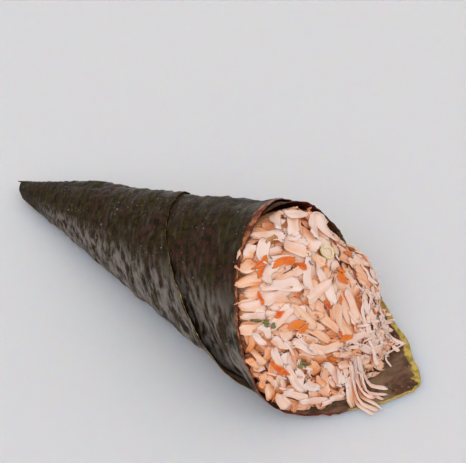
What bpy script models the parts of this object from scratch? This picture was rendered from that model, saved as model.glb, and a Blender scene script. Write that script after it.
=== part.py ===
"""A temaki hand roll lying on its side: half a sheet of nori rolled into a cone round crab salad.

The roll lies along +X with its tip at -X and its mouth at +X. +Z is up and it rests on z = 0.
Two places are used on the roll. "Reach" is the distance along X from the tip. "Around" is the
part of a turn from the roll's top, going down its -Y flank, along its underside and up its +Y
flank, so 0 is the top, 0.25 the -Y flank, 0.5 the underside and 0.75 the +Y flank.
The sheet's own place across its winding is "turn", from its outer end at 0 to its inner end.
"""

import math

import bmesh
import bpy
import numpy as np
from mathutils import Vector, noise

MM = 0.001

# The cone's cross-section, as sizes for each metre of reach beyond the point it narrows to
HALF_WIDTH = 0.222            # half the width
WAIST_HEIGHT = 0.205          # height of the widest level
CROWN_RISE = 0.238            # from the widest level up to the top
BELLY_POWER = 3.0             # squareness of the lower half, which the roll's weight gives it
FLATTENING = 0.004            # how deep its weight presses the underside flat
TIP_OVERRUN = 12.0 * MM       # from the tip's cut end back to the point that the cone narrows to

# The nori sheet
NORI_WALL = 0.35 * MM
LAYER_PITCH = 0.70 * MM       # from one layer to the next, so layers stay 0.35 mm apart
SHEET_SHORT_SIDE = 105.0 * MM
LAP_LENGTH = 77.0 * MM        # from the cone's point to the sheet's outer short side, the seam
TURN_ANGLE = math.radians(78.3)   # what one turn of the cone takes up on the flat sheet
TURNS = math.pi / TURN_ANGLE      # the sheet is wound through half a circle about the cone's point
OUTER_END_AROUND = -0.30      # where the outer end lies at the mouth
OUTER_END_DRIFT = 0.17        # how much nearer the top it lies at the tip
DRIFT_REACH = 75.0 * MM       # the reach past which it no longer drifts
DIP_START = 0.88              # part of each turn after which the layer dips under the outer end
LAYERS_INSIDE = 2             # layers between the outermost one and the salad
TIP_LAYER_SETBACK = 1.6 * MM  # how far each turn starts behind the one round it
TONGUE_DROP_START = 117.0 * MM
TONGUE_DROP_END = 128.0 * MM  # past this reach the tongue lies on the table

# The free edge of the sheet beyond its outer corner, as (turn, reach in mm): first its long
# side round the far flank, over the top and down the near flank to the corner of the tongue,
# then its inner short side up the far flank to the top
CORNER_TURN = 1.852
LONG_SIDE = ((0.80, 104.0), (0.95, 98.5), (1.15, 96.0), (1.30, 97.0), (1.40, 101.0), (1.52, 110.0),
             (1.63, 118.0), (1.70, 126.0), (1.76, 135.5), (1.82, 144.0), (CORNER_TURN, 146.3))
SHORT_SIDE = ((CORNER_TURN, 146.3), (1.866, 144.0), (1.89, 138.5), (1.94, 125.0), (2.00, 114.5),
              (2.08, 106.0), (2.18, 101.0), (TURNS, 98.0))

# The crab salad
SALAD_GAP = 0.35 * MM         # between the salad and the sheet round it
SALAD_TIP_REACH = 14.0 * MM
SALAD_CROWN = 10.0 * MM       # how far the heap stands out of the mouth
SALAD_LUMP_SIZE = 11.0 * MM
SALAD_LUMP_DEPTH = 1.5 * MM
# How far inside the sheet's free edge the salad's own edge lies, as (around, distance in mm)
SALAD_SETBACK = ((0.0, -1.5), (0.12, 0.5), (0.25, 2.0), (0.38, 3.0), (0.46, 5.0), (0.55, 13.0),
                 (0.62, 6.0), (0.70, 0.0), (0.78, -3.0), (0.90, -2.5), (1.0, -1.5))

# How finely the surfaces are divided
STEPS_PER_TURN = 44
SHEET_ROWS = 10
SALAD_RINGS = 10
HEAP_RINGS = 8
OUTLINE_STEPS = 2000


def smooth_step(value):
    """0 below 0, 1 above 1, and an even curve between them."""
    clipped = min(max(value, 0.0), 1.0)
    return clipped * clipped * (3.0 - 2.0 * clipped)


def smooth_table(stations):
    """A function that runs through the stations on one smooth curve (Catmull-Rom slopes)."""
    places = np.array([place for place, _ in stations])
    values = np.array([value for _, value in stations])
    slopes = np.gradient(values, places)

    def read(place):
        place = min(max(place, places[0]), places[-1])
        index = min(int(np.searchsorted(places, place, side="right")) - 1, len(places) - 2)
        span = places[index + 1] - places[index]
        t = (place - places[index]) / span
        start = (1 + 2 * t) * (1 - t) ** 2 * values[index] + t * (1 - t) ** 2 * span * slopes[index]
        end = t * t * (3 - 2 * t) * values[index + 1] + t * t * (t - 1) * span * slopes[index + 1]
        return start + end

    return read


def cone_outline():
    """The cross-section as (y, z) points evenly spaced round it, for a reach of one metre."""
    angle = np.radians(90.0 - np.linspace(0.0, 360.0, OUTLINE_STEPS * 4 + 1))
    cosine, sine = np.cos(angle), np.sin(angle)
    upper = sine >= 0.0
    squared = np.sign(cosine) * np.abs(cosine) ** (2.0 / BELLY_POWER)
    y = np.where(upper, -HALF_WIDTH * cosine, -HALF_WIDTH * squared)
    belly = WAIST_HEIGHT * (1.0 - np.abs(sine) ** (2.0 / BELLY_POWER))
    z = np.where(upper, WAIST_HEIGHT + CROWN_RISE * sine, belly)
    z = np.maximum(z - FLATTENING, 0.0)
    length = np.concatenate([[0.0], np.cumsum(np.hypot(np.diff(y), np.diff(z)))])
    even = np.linspace(0.0, length[-1], OUTLINE_STEPS + 1)
    return np.interp(even, length, y), np.interp(even, length, z)


OUTLINE_Y, OUTLINE_Z = cone_outline()


def read_outline(around):
    """The cross-section's point at this part of a turn."""
    place = (around % 1.0) * OUTLINE_STEPS
    steps = np.arange(OUTLINE_STEPS + 1)
    return float(np.interp(place, steps, OUTLINE_Y)), float(np.interp(place, steps, OUTLINE_Z))


def cone_point(reach, around, depth):
    """A point this deep under the cone's outer surface."""
    scale = reach + TIP_OVERRUN
    step = 0.5 / STEPS_PER_TURN
    y, z = read_outline(around)
    before_y, before_z = read_outline(around - step)
    after_y, after_z = read_outline(around + step)
    along = Vector((after_y - before_y, after_z - before_z)).normalized()
    inward = Vector((-along.y, along.x))
    return Vector((reach, y * scale + inward.x * depth, z * scale + inward.y * depth))


def around_of(turn, reach):
    """Where a turn of the sheet lies round the cone."""
    drift = OUTER_END_DRIFT * (1.0 - smooth_step(reach / DRIFT_REACH))
    return turn + OUTER_END_AROUND + drift


def seam_reach(turn):
    """The outer short side: a straight line on the flat sheet, so it bends round the cone."""
    slant = LAP_LENGTH / math.cos(TURN_ANGLE * turn)
    y, z = read_outline(turn + OUTER_END_AROUND)
    return slant / math.sqrt(1.0 + y * y + z * z) - TIP_OVERRUN


OUTER_CORNER_TURN = math.atan2(SHEET_SHORT_SIDE, LAP_LENGTH) / TURN_ANGLE
OUTER_CORNER = (OUTER_CORNER_TURN, seam_reach(OUTER_CORNER_TURN) / MM)
long_side_reach = smooth_table((OUTER_CORNER,) + LONG_SIDE)
short_side_reach = smooth_table(SHORT_SIDE)
salad_setback = smooth_table(SALAD_SETBACK)


def edge_reach(turn):
    """How far the sheet reaches at this place across its winding."""
    if turn < OUTER_CORNER_TURN:
        return seam_reach(turn)
    if turn < CORNER_TURN:
        return long_side_reach(turn) * MM
    return short_side_reach(turn) * MM


def layer_depth(turn, reach):
    """How deep this turn of the sheet lies: one pitch deeper for each layer round it."""
    whole = math.floor(turn)
    dip = smooth_step((turn - whole - DIP_START) / (1.0 - DIP_START))
    drop = smooth_step((reach - TONGUE_DROP_START) / (TONGUE_DROP_END - TONGUE_DROP_START))
    return LAYER_PITCH * (whole + dip) * (1.0 - drop)


def new_object(name, mesh_build, collection, material):
    """An object from a bmesh, with its faces pointing out and shaded smooth."""
    mesh = bpy.data.meshes.new(name)
    mesh_build.to_mesh(mesh)
    mesh_build.free()
    mesh.shade_smooth()
    mesh.set_sharp_from_angle(angle=math.radians(50))
    mesh.materials.append(material)
    made = bpy.data.objects.new(name, mesh)
    collection.objects.link(made)
    return made


def bridge_rows(shape, rows, closed):
    """Quads between neighbouring rows of points; a closed row also joins its ends."""
    made = [[shape.verts.new(point) for point in row] for row in rows]
    for upper, lower in zip(made, made[1:]):
        count = len(upper)
        for column in range(count if closed else count - 1):
            following = (column + 1) % count
            shape.faces.new((upper[column], upper[following], lower[following], lower[column]))
    return made


def nori_sheet(collection, material):
    """The sheet as wound: one spiral surface given a wall, free at the seam and at the mouth."""
    columns = round(TURNS * STEPS_PER_TURN)
    turns = sorted([TURNS * column / columns for column in range(columns + 1)] + [CORNER_TURN])
    rows = []
    for row in range(SHEET_ROWS + 1):
        part = row / SHEET_ROWS
        points = []
        for turn in turns:
            start = TIP_LAYER_SETBACK * turn
            reach = start + (edge_reach(turn) - start) * part
            points.append(cone_point(reach, around_of(turn, reach), layer_depth(turn, reach)))
        rows.append(points)
    shape = bmesh.new()
    bridge_rows(shape, rows, closed=False)
    sheet = new_object("nori_sheet", shape, collection, material)
    wall = sheet.modifiers.new("wall", "SOLIDIFY")
    wall.thickness = NORI_WALL
    wall.offset = -1.0
    wall.use_even_offset = True
    return sheet


def lumps(point):
    """The heap's unevenness at a point, from -1 to 1."""
    return noise.noise(point / SALAD_LUMP_SIZE)


def crab_salad(collection, material):
    """The filling: it fills the cone from near the tip and stands out of the mouth as a heap."""
    depth = LAYERS_INSIDE * LAYER_PITCH + NORI_WALL + SALAD_GAP
    arounds = [step / STEPS_PER_TURN for step in range(STEPS_PER_TURN)]
    rows = []
    for ring in range(SALAD_RINGS + 1):
        part = ring / SALAD_RINGS
        points = []
        for around in arounds:
            # The sheet's innermost turn at this place, and how far the salad follows it
            turn = 1.0 - OUTER_END_AROUND + around
            edge = edge_reach(turn) - salad_setback(around) * MM
            reach = SALAD_TIP_REACH + (edge - SALAD_TIP_REACH) * part
            points.append(cone_point(reach, around, depth))
        rows.append(points)
    mouth = rows[-1]
    centre = sum(mouth, Vector()) / len(mouth)
    normal = Vector()
    for here, following in zip(mouth, mouth[1:] + mouth[:1]):
        normal += (here - centre).cross(following - centre)
    normal = -normal.normalized() if normal.x < 0.0 else normal.normalized()
    for ring in range(1, HEAP_RINGS):
        tilt = 0.5 * math.pi * ring / HEAP_RINGS
        points = []
        for point in mouth:
            place = centre + (point - centre) * math.cos(tilt)
            place += normal * (SALAD_CROWN * math.sin(tilt))
            points.append(place + normal * (SALAD_LUMP_DEPTH * lumps(place) * math.sin(tilt)))
        rows.append(points)
    shape = bmesh.new()
    made = bridge_rows(shape, rows, closed=True)
    for ring, point in ((made[0], sum(rows[0], Vector()) / len(rows[0])),
                        (made[-1], centre + normal * SALAD_CROWN)):
        tip = shape.verts.new(point)
        for here, following in zip(ring, ring[1:] + ring[:1]):
            shape.faces.new((here, following, tip))
    bmesh.ops.recalc_face_normals(shape, faces=shape.faces)
    return new_object("crab_salad", shape, collection, material)


def food_material(name, colour, roughness):
    """A plain Principled material."""
    material = bpy.data.materials.new(name)
    material.use_nodes = True
    shader = material.node_tree.nodes["Principled BSDF"]
    shader.inputs["Base Color"].default_value = (*colour, 1.0)
    shader.inputs["Roughness"].default_value = roughness
    shader.inputs["Metallic"].default_value = 0.0
    return material


def centre_on_origin(pieces, frame):
    """Moves the frame that the pieces hang from, so their box stands centred on the origin."""
    bpy.context.view_layer.update()
    graph = bpy.context.evaluated_depsgraph_get()
    corners = []
    for piece in pieces:
        mesh = piece.evaluated_get(graph).to_mesh()
        corners += [piece.matrix_world @ vertex.co for vertex in mesh.vertices]
    low = [min(corner[axis] for corner in corners) for axis in range(3)]
    high = [max(corner[axis] for corner in corners) for axis in range(3)]
    frame.location = (-0.5 * (low[0] + high[0]), -0.5 * (low[1] + high[1]), -low[2])
    bpy.context.view_layer.update()


def main():
    for old in list(bpy.data.objects):
        bpy.data.objects.remove(old, do_unlink=True)
    collection = bpy.data.collections.new("temaki_hand_roll")
    bpy.context.scene.collection.children.link(collection)
    frame = bpy.data.objects.new("temaki_frame", None)
    collection.objects.link(frame)
    pieces = [
        nori_sheet(collection, food_material("nori", (0.030, 0.027, 0.020), 0.45)),
        crab_salad(collection, food_material("crab_salad", (0.78, 0.60, 0.50), 0.40)),
    ]
    for piece in pieces:
        piece.parent = frame
    centre_on_origin(pieces, frame)


main()
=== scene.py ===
"""Looks of a temaki hand roll: a cone of rolled nori, heaped with shredded crab salad.

The roll lies along +X with its tip at -X and its mouth at +X, on the table at z = 0. Two places
are used on it. "Reach" is the distance along X from the tip. "Around" is the part of a turn from
the roll's top, down its -Y flank, along its underside and up its +Y flank. The sheet's own place
across its winding is "turn", from its outer end at 0 to its inner end.
"""

import itertools
import math

import bpy
import numpy as np
from bpy.props import FloatProperty, FloatVectorProperty, IntProperty, PointerProperty
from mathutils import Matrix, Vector
from mathutils.bvhtree import BVHTree


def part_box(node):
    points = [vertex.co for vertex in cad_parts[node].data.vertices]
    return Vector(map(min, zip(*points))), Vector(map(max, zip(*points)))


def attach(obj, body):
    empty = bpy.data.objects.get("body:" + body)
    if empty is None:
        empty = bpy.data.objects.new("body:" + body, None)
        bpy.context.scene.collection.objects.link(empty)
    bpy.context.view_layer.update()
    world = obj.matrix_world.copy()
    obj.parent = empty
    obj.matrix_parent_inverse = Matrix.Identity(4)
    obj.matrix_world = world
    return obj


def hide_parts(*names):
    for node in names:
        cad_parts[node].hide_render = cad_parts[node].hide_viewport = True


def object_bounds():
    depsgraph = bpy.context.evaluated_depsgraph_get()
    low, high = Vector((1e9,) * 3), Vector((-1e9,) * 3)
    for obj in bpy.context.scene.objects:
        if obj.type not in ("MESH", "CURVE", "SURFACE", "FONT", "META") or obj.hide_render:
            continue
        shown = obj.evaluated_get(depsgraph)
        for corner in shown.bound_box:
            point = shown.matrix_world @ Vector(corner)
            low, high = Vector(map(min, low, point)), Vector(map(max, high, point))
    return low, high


bl_info = {
    "name": "Temaki hand roll",
    "version": (1, 0, 0),
    "blender": (4, 5, 0),
    "location": "View3D > Sidebar > Temaki",
    "description": "Builds a nori hand roll filled with shredded crab salad",
    "category": "Add Mesh",
}

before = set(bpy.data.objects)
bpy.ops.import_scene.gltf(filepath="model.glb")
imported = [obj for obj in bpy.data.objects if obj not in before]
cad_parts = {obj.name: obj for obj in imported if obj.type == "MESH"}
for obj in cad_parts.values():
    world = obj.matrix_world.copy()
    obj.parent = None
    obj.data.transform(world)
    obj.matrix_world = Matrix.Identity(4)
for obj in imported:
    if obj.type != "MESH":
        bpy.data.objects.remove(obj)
CAD_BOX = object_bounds()

MM = 0.001

# ------------------------------------------------------------------------------------------
# The cone that the sheet is wound into, as the solids have it
# ------------------------------------------------------------------------------------------

# Its cross-section, as sizes for each metre of reach beyond the point it narrows to
HALF_WIDTH = 0.222
WAIST_HEIGHT = 0.205
CROWN_RISE = 0.238
BELLY_POWER = 3.0
FLATTENING = 0.004
TIP_OVERRUN = 12.0 * MM
OUTLINE_STEPS = 2000

# The sheet's winding
LAP_LENGTH = 77.0 * MM
SHEET_SHORT_SIDE = 105.0 * MM
TURN_ANGLE = math.radians(78.3)
TURNS = math.pi / TURN_ANGLE
OUTER_END_AROUND = -0.30
OUTER_END_DRIFT = 0.17
DRIFT_REACH = 75.0 * MM
DIP_START = 0.88
TIP_LAYER_SETBACK = 1.6 * MM
TONGUE_DROP_START = 117.0 * MM
TONGUE_DROP_END = 128.0 * MM

# The free edge of the sheet beyond its outer corner, as (turn, reach in mm)
CORNER_TURN = 1.852
LONG_SIDE = ((0.80, 104.0), (0.95, 98.5), (1.15, 96.0), (1.30, 97.0), (1.40, 101.0), (1.52, 110.0),
             (1.63, 118.0), (1.70, 126.0), (1.76, 135.5), (1.82, 144.0), (CORNER_TURN, 146.3))
SHORT_SIDE = ((CORNER_TURN, 146.3), (1.866, 144.0), (1.89, 138.5), (1.94, 125.0), (2.00, 114.5),
              (2.08, 106.0), (2.18, 101.0), (TURNS, 98.0))

# Where the cone's tip, middle line and underside lie in the frame
TIP_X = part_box("nori_sheet")[0].x
MIDDLE_Y = 0.45 * MM
TABLE_Z = CAD_BOX[0].z


def smooth_step(value):
    """0 below 0, 1 above 1, and an even curve between them."""
    clipped = np.clip(value, 0.0, 1.0)
    return clipped * clipped * (3.0 - 2.0 * clipped)


def swell(value):
    """1 at 0, falling on an even curve to 0 at -1 and 1."""
    return 1.0 - smooth_step(np.abs(value))


def smooth_table(stations):
    """A function that runs through the stations on one smooth curve (Catmull-Rom slopes)."""
    places = np.array([place for place, _ in stations])
    values = np.array([value for _, value in stations])
    slopes = np.gradient(values, places)

    def read(place):
        place = np.clip(place, places[0], places[-1])
        index = np.clip(np.searchsorted(places, place, side="right") - 1, 0, len(places) - 2)
        span = places[index + 1] - places[index]
        t = (place - places[index]) / span
        start = (1 + 2 * t) * (1 - t) ** 2 * values[index] + t * (1 - t) ** 2 * span * slopes[index]
        end = t * t * (3 - 2 * t) * values[index + 1] + t * t * (t - 1) * span * slopes[index + 1]
        return start + end

    return read


def random_field(seed):
    """A smooth random field (gradient noise): reads points in cells, gives about -1 to 1."""
    draws = np.random.default_rng(seed)
    order = draws.permutation(256)
    slopes = draws.normal(size=(256, 3))
    slopes /= np.linalg.norm(slopes, axis=1)[:, None]

    def read(points):
        cell = np.floor(points).astype(np.int64)
        inside = points - cell
        fade = inside ** 3 * (inside * (inside * 6.0 - 15.0) + 10.0)
        total = np.zeros(points.shape[:-1])
        for corner in itertools.product((0, 1), repeat=3):
            hashed = order[(cell[..., 0] + corner[0]) & 255]
            hashed = order[(hashed + cell[..., 1] + corner[1]) & 255]
            hashed = order[(hashed + cell[..., 2] + corner[2]) & 255]
            weight = np.prod(np.where(np.array(corner) == 1, fade, 1.0 - fade), axis=-1)
            total += weight * ((inside - np.array(corner)) * slopes[hashed]).sum(axis=-1)
        return 1.6 * total

    return read


def random_line(seed, place):
    """A smooth random number along a line, about -1 to 1."""
    level = np.zeros_like(place)
    return random_field(seed)(np.stack([place, level, level], axis=-1))


def cone_outline():
    """The cross-section as (y, z) points evenly spaced round it, for a reach of one metre."""
    angle = np.radians(90.0 - np.linspace(0.0, 360.0, OUTLINE_STEPS * 4 + 1))
    cosine, sine = np.cos(angle), np.sin(angle)
    upper = sine >= 0.0
    squared = np.sign(cosine) * np.abs(cosine) ** (2.0 / BELLY_POWER)
    y = np.where(upper, -HALF_WIDTH * cosine, -HALF_WIDTH * squared)
    belly = WAIST_HEIGHT * (1.0 - np.abs(sine) ** (2.0 / BELLY_POWER))
    z = np.where(upper, WAIST_HEIGHT + CROWN_RISE * sine, belly)
    z = np.maximum(z - FLATTENING, 0.0)
    length = np.concatenate([[0.0], np.cumsum(np.hypot(np.diff(y), np.diff(z)))])
    even = np.linspace(0.0, length[-1], OUTLINE_STEPS + 1)
    return np.interp(even, length, y), np.interp(even, length, z)


OUTLINE_Y, OUTLINE_Z = cone_outline()
PERIMETER = np.hypot(np.diff(OUTLINE_Y), np.diff(OUTLINE_Z)).sum()

# Where on the unrolled cone a pattern has its true size, and how wide the join of the streaks is
ROLL_RADIUS = 90.0 * MM
STREAK_JOIN = 0.10


def read_outline(around):
    """The cross-section's points at these parts of a turn."""
    place = np.mod(around, 1.0) * OUTLINE_STEPS
    steps = np.arange(OUTLINE_STEPS + 1)
    return np.interp(place, steps, OUTLINE_Y), np.interp(place, steps, OUTLINE_Z)


def cone_points(reach, around, depth):
    """Points these depths under the cone's outer surface."""
    scale = reach + TIP_OVERRUN
    step = 0.01
    y, z = read_outline(around)
    before_y, before_z = read_outline(around - step)
    after_y, after_z = read_outline(around + step)
    along_y, along_z = after_y - before_y, after_z - before_z
    length = np.hypot(along_y, along_z)
    inward_y, inward_z = -along_z / length, along_y / length
    return np.stack([TIP_X + reach, MIDDLE_Y + y * scale + inward_y * depth,
                     TABLE_Z + z * scale + inward_z * depth], axis=-1)


def around_of(turn, reach):
    """Where a turn of the sheet lies round the cone."""
    return turn + OUTER_END_AROUND + OUTER_END_DRIFT * (1.0 - smooth_step(reach / DRIFT_REACH))


def from_place(around, place):
    """How far round the cone these places lie from another, from -0.5 to 0.5 of a turn."""
    return np.mod(around - place + 0.5, 1.0) - 0.5


def seam_reach(turn):
    """The outer short side: a straight line on the flat sheet, so it bends round the cone."""
    y, z = read_outline(turn + OUTER_END_AROUND)
    return LAP_LENGTH / np.cos(TURN_ANGLE * turn) / np.sqrt(1.0 + y * y + z * z) - TIP_OVERRUN


OUTER_CORNER_TURN = math.atan2(SHEET_SHORT_SIDE, LAP_LENGTH) / TURN_ANGLE
OUTER_CORNER = (OUTER_CORNER_TURN, float(seam_reach(OUTER_CORNER_TURN)) / MM)
long_side_reach = smooth_table((OUTER_CORNER,) + LONG_SIDE)
short_side_reach = smooth_table(SHORT_SIDE)


def edge_reach(turn):
    """How far the sheet reaches at these places across its winding."""
    seam = seam_reach(np.minimum(turn, OUTER_CORNER_TURN))
    beyond = np.where(turn < CORNER_TURN, long_side_reach(turn), short_side_reach(turn)) * MM
    return np.where(turn < OUTER_CORNER_TURN, seam, beyond)


def roll_place(reach, around):
    """The same places on the cone unrolled so that a pattern keeps its angles all over it.

    Its sizes are true at ROLL_RADIUS from the point of the cone, and shrink towards the tip.
    """
    run = around * PERIMETER * ROLL_RADIUS
    rise = ROLL_RADIUS * np.log((reach + TIP_OVERRUN) / ROLL_RADIUS)
    return run, rise


def flat_place(turn, reach):
    """The same places on the sheet laid flat."""
    y, z = read_outline(around_of(turn, reach))
    slant = (reach + TIP_OVERRUN) * np.sqrt(1.0 + (y * y + z * z))
    return slant * np.cos(TURN_ANGLE * turn), slant * np.sin(TURN_ANGLE * turn)


def streaks(seed, reach, around, across, along, lean):
    """A random field of streaks this wide and this long, which run round the cone and lean.

    Its join lies on the underside, where the two ends fade into each other.
    """
    field = random_field(seed)
    wrapped = around - np.floor(around + 0.5)
    share = 0.5 * smooth_step((np.abs(wrapped) - (0.5 - STREAK_JOIN)) / STREAK_JOIN)

    def read(place):
        run, rise = roll_place(reach, place)
        return field(np.stack([(run * math.cos(lean) + rise * math.sin(lean)) / along,
                               (rise * math.cos(lean) - run * math.sin(lean)) / across,
                               np.full_like(run, 0.5)], axis=-1))

    return (1.0 - share) * read(wrapped) + share * read(wrapped - np.sign(wrapped))


# ------------------------------------------------------------------------------------------
# Meshes
# ------------------------------------------------------------------------------------------

def new_piece(name, points, faces, materials, marks=None, places=None):
    """A smooth-shaded object from points and faces.

    Marks are numbers and places are vectors kept on its points.
    """
    mesh = bpy.data.meshes.new(name)
    mesh.from_pydata(np.asarray(points).reshape(-1, 3).tolist(), [], faces)
    for material in materials:
        mesh.materials.append(material)
    for mark, values in (marks or {}).items():
        mesh.attributes.new(mark, "FLOAT", "POINT").data.foreach_set("value", np.ravel(values))
    for place, values in (places or {}).items():
        kept = mesh.attributes.new(place, "FLOAT_VECTOR", "POINT")
        kept.data.foreach_set("vector", np.ravel(values))
    mesh.shade_smooth()
    mesh.update()
    piece = bpy.data.objects.new(name, mesh)
    bpy.context.scene.collection.objects.link(piece)
    return piece


def grid_faces(rows, columns, closed=False):
    """Quads between neighbouring rows of a grid; a closed grid also joins its first column."""
    row = np.arange(rows - 1)[:, None]
    column = np.arange(columns if closed else columns - 1)[None, :]
    following = (column + 1) % columns
    quads = np.stack(np.broadcast_arrays(row * columns + column, row * columns + following,
                                         (row + 1) * columns + following,
                                         (row + 1) * columns + column), axis=-1)
    return quads.reshape(-1, 4).tolist()


# ------------------------------------------------------------------------------------------
# Materials
# ------------------------------------------------------------------------------------------

def linear(hex_colour):
    """An sRGB hex colour as linear red, green and blue."""
    parts = [int(hex_colour[place:place + 2], 16) / 255.0 for place in (1, 3, 5)]
    return tuple(p / 12.92 if p <= 0.04045 else ((p + 0.055) / 1.055) ** 2.4 for p in parts)


def shades(*hex_colours):
    """Several sRGB hex colours as linear ones."""
    return tuple(linear(hex_colour) for hex_colour in hex_colours)


def length_setting(name, description, default, low, high):
    """A length that a user may change."""
    return FloatProperty(name=name, description=description, default=default, min=low, max=high,
                         precision=5, unit="LENGTH", subtype="DISTANCE")


def colour_setting(name, description, hex_colour):
    """A colour that a user may change."""
    return FloatVectorProperty(name=name, description=description, default=linear(hex_colour),
                               size=3, min=0.0, max=1.0, subtype="COLOR")


def add_node(tree, kind, links=None, **settings):
    """Adds a node; links gives each input socket its value or the output that feeds it."""
    node = tree.nodes.new(kind)
    for name, value in settings.items():
        setattr(node, name, value)
    for socket, value in (links or {}).items():
        entry = node.inputs[socket]
        if isinstance(value, bpy.types.NodeSocket):
            tree.links.new(value, entry)
        elif entry.type == "RGBA":
            entry.default_value = (*value, 1.0)
        else:
            entry.default_value = value
    return node


def new_material(name):
    """An empty node material with its Principled shader and output."""
    material = bpy.data.materials.new(name)
    material.use_nodes = True
    tree = material.node_tree
    tree.nodes.clear()
    shader = add_node(tree, "ShaderNodeBsdfPrincipled")
    add_node(tree, "ShaderNodeOutputMaterial", {"Surface": shader.outputs["BSDF"]})
    return material, tree, shader


def add_layer(tree, under, over, place, size, low, high, strength=1.0, detail=2.0,
              roughness=0.5):
    """Lays one colour over another, in patches of noise with grains this large, in metres.

    Gives the new colour, how much of the layer shows, and the noise.
    """
    noise = add_node(tree, "ShaderNodeTexNoise", {"Vector": place, "Scale": 1.0 / size,
                                                  "Detail": detail, "Roughness": roughness})
    shown = add_node(tree, "ShaderNodeMapRange", {
        "Value": noise.outputs["Fac"], "From Min": low, "From Max": high, "To Max": strength},
        interpolation_type="SMOOTHSTEP").outputs["Result"]
    mixed = add_node(tree, "ShaderNodeMix", {0: shown, 6: under, 7: over}, data_type="RGBA")
    return mixed.outputs[2], shown, noise.outputs["Fac"]


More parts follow.
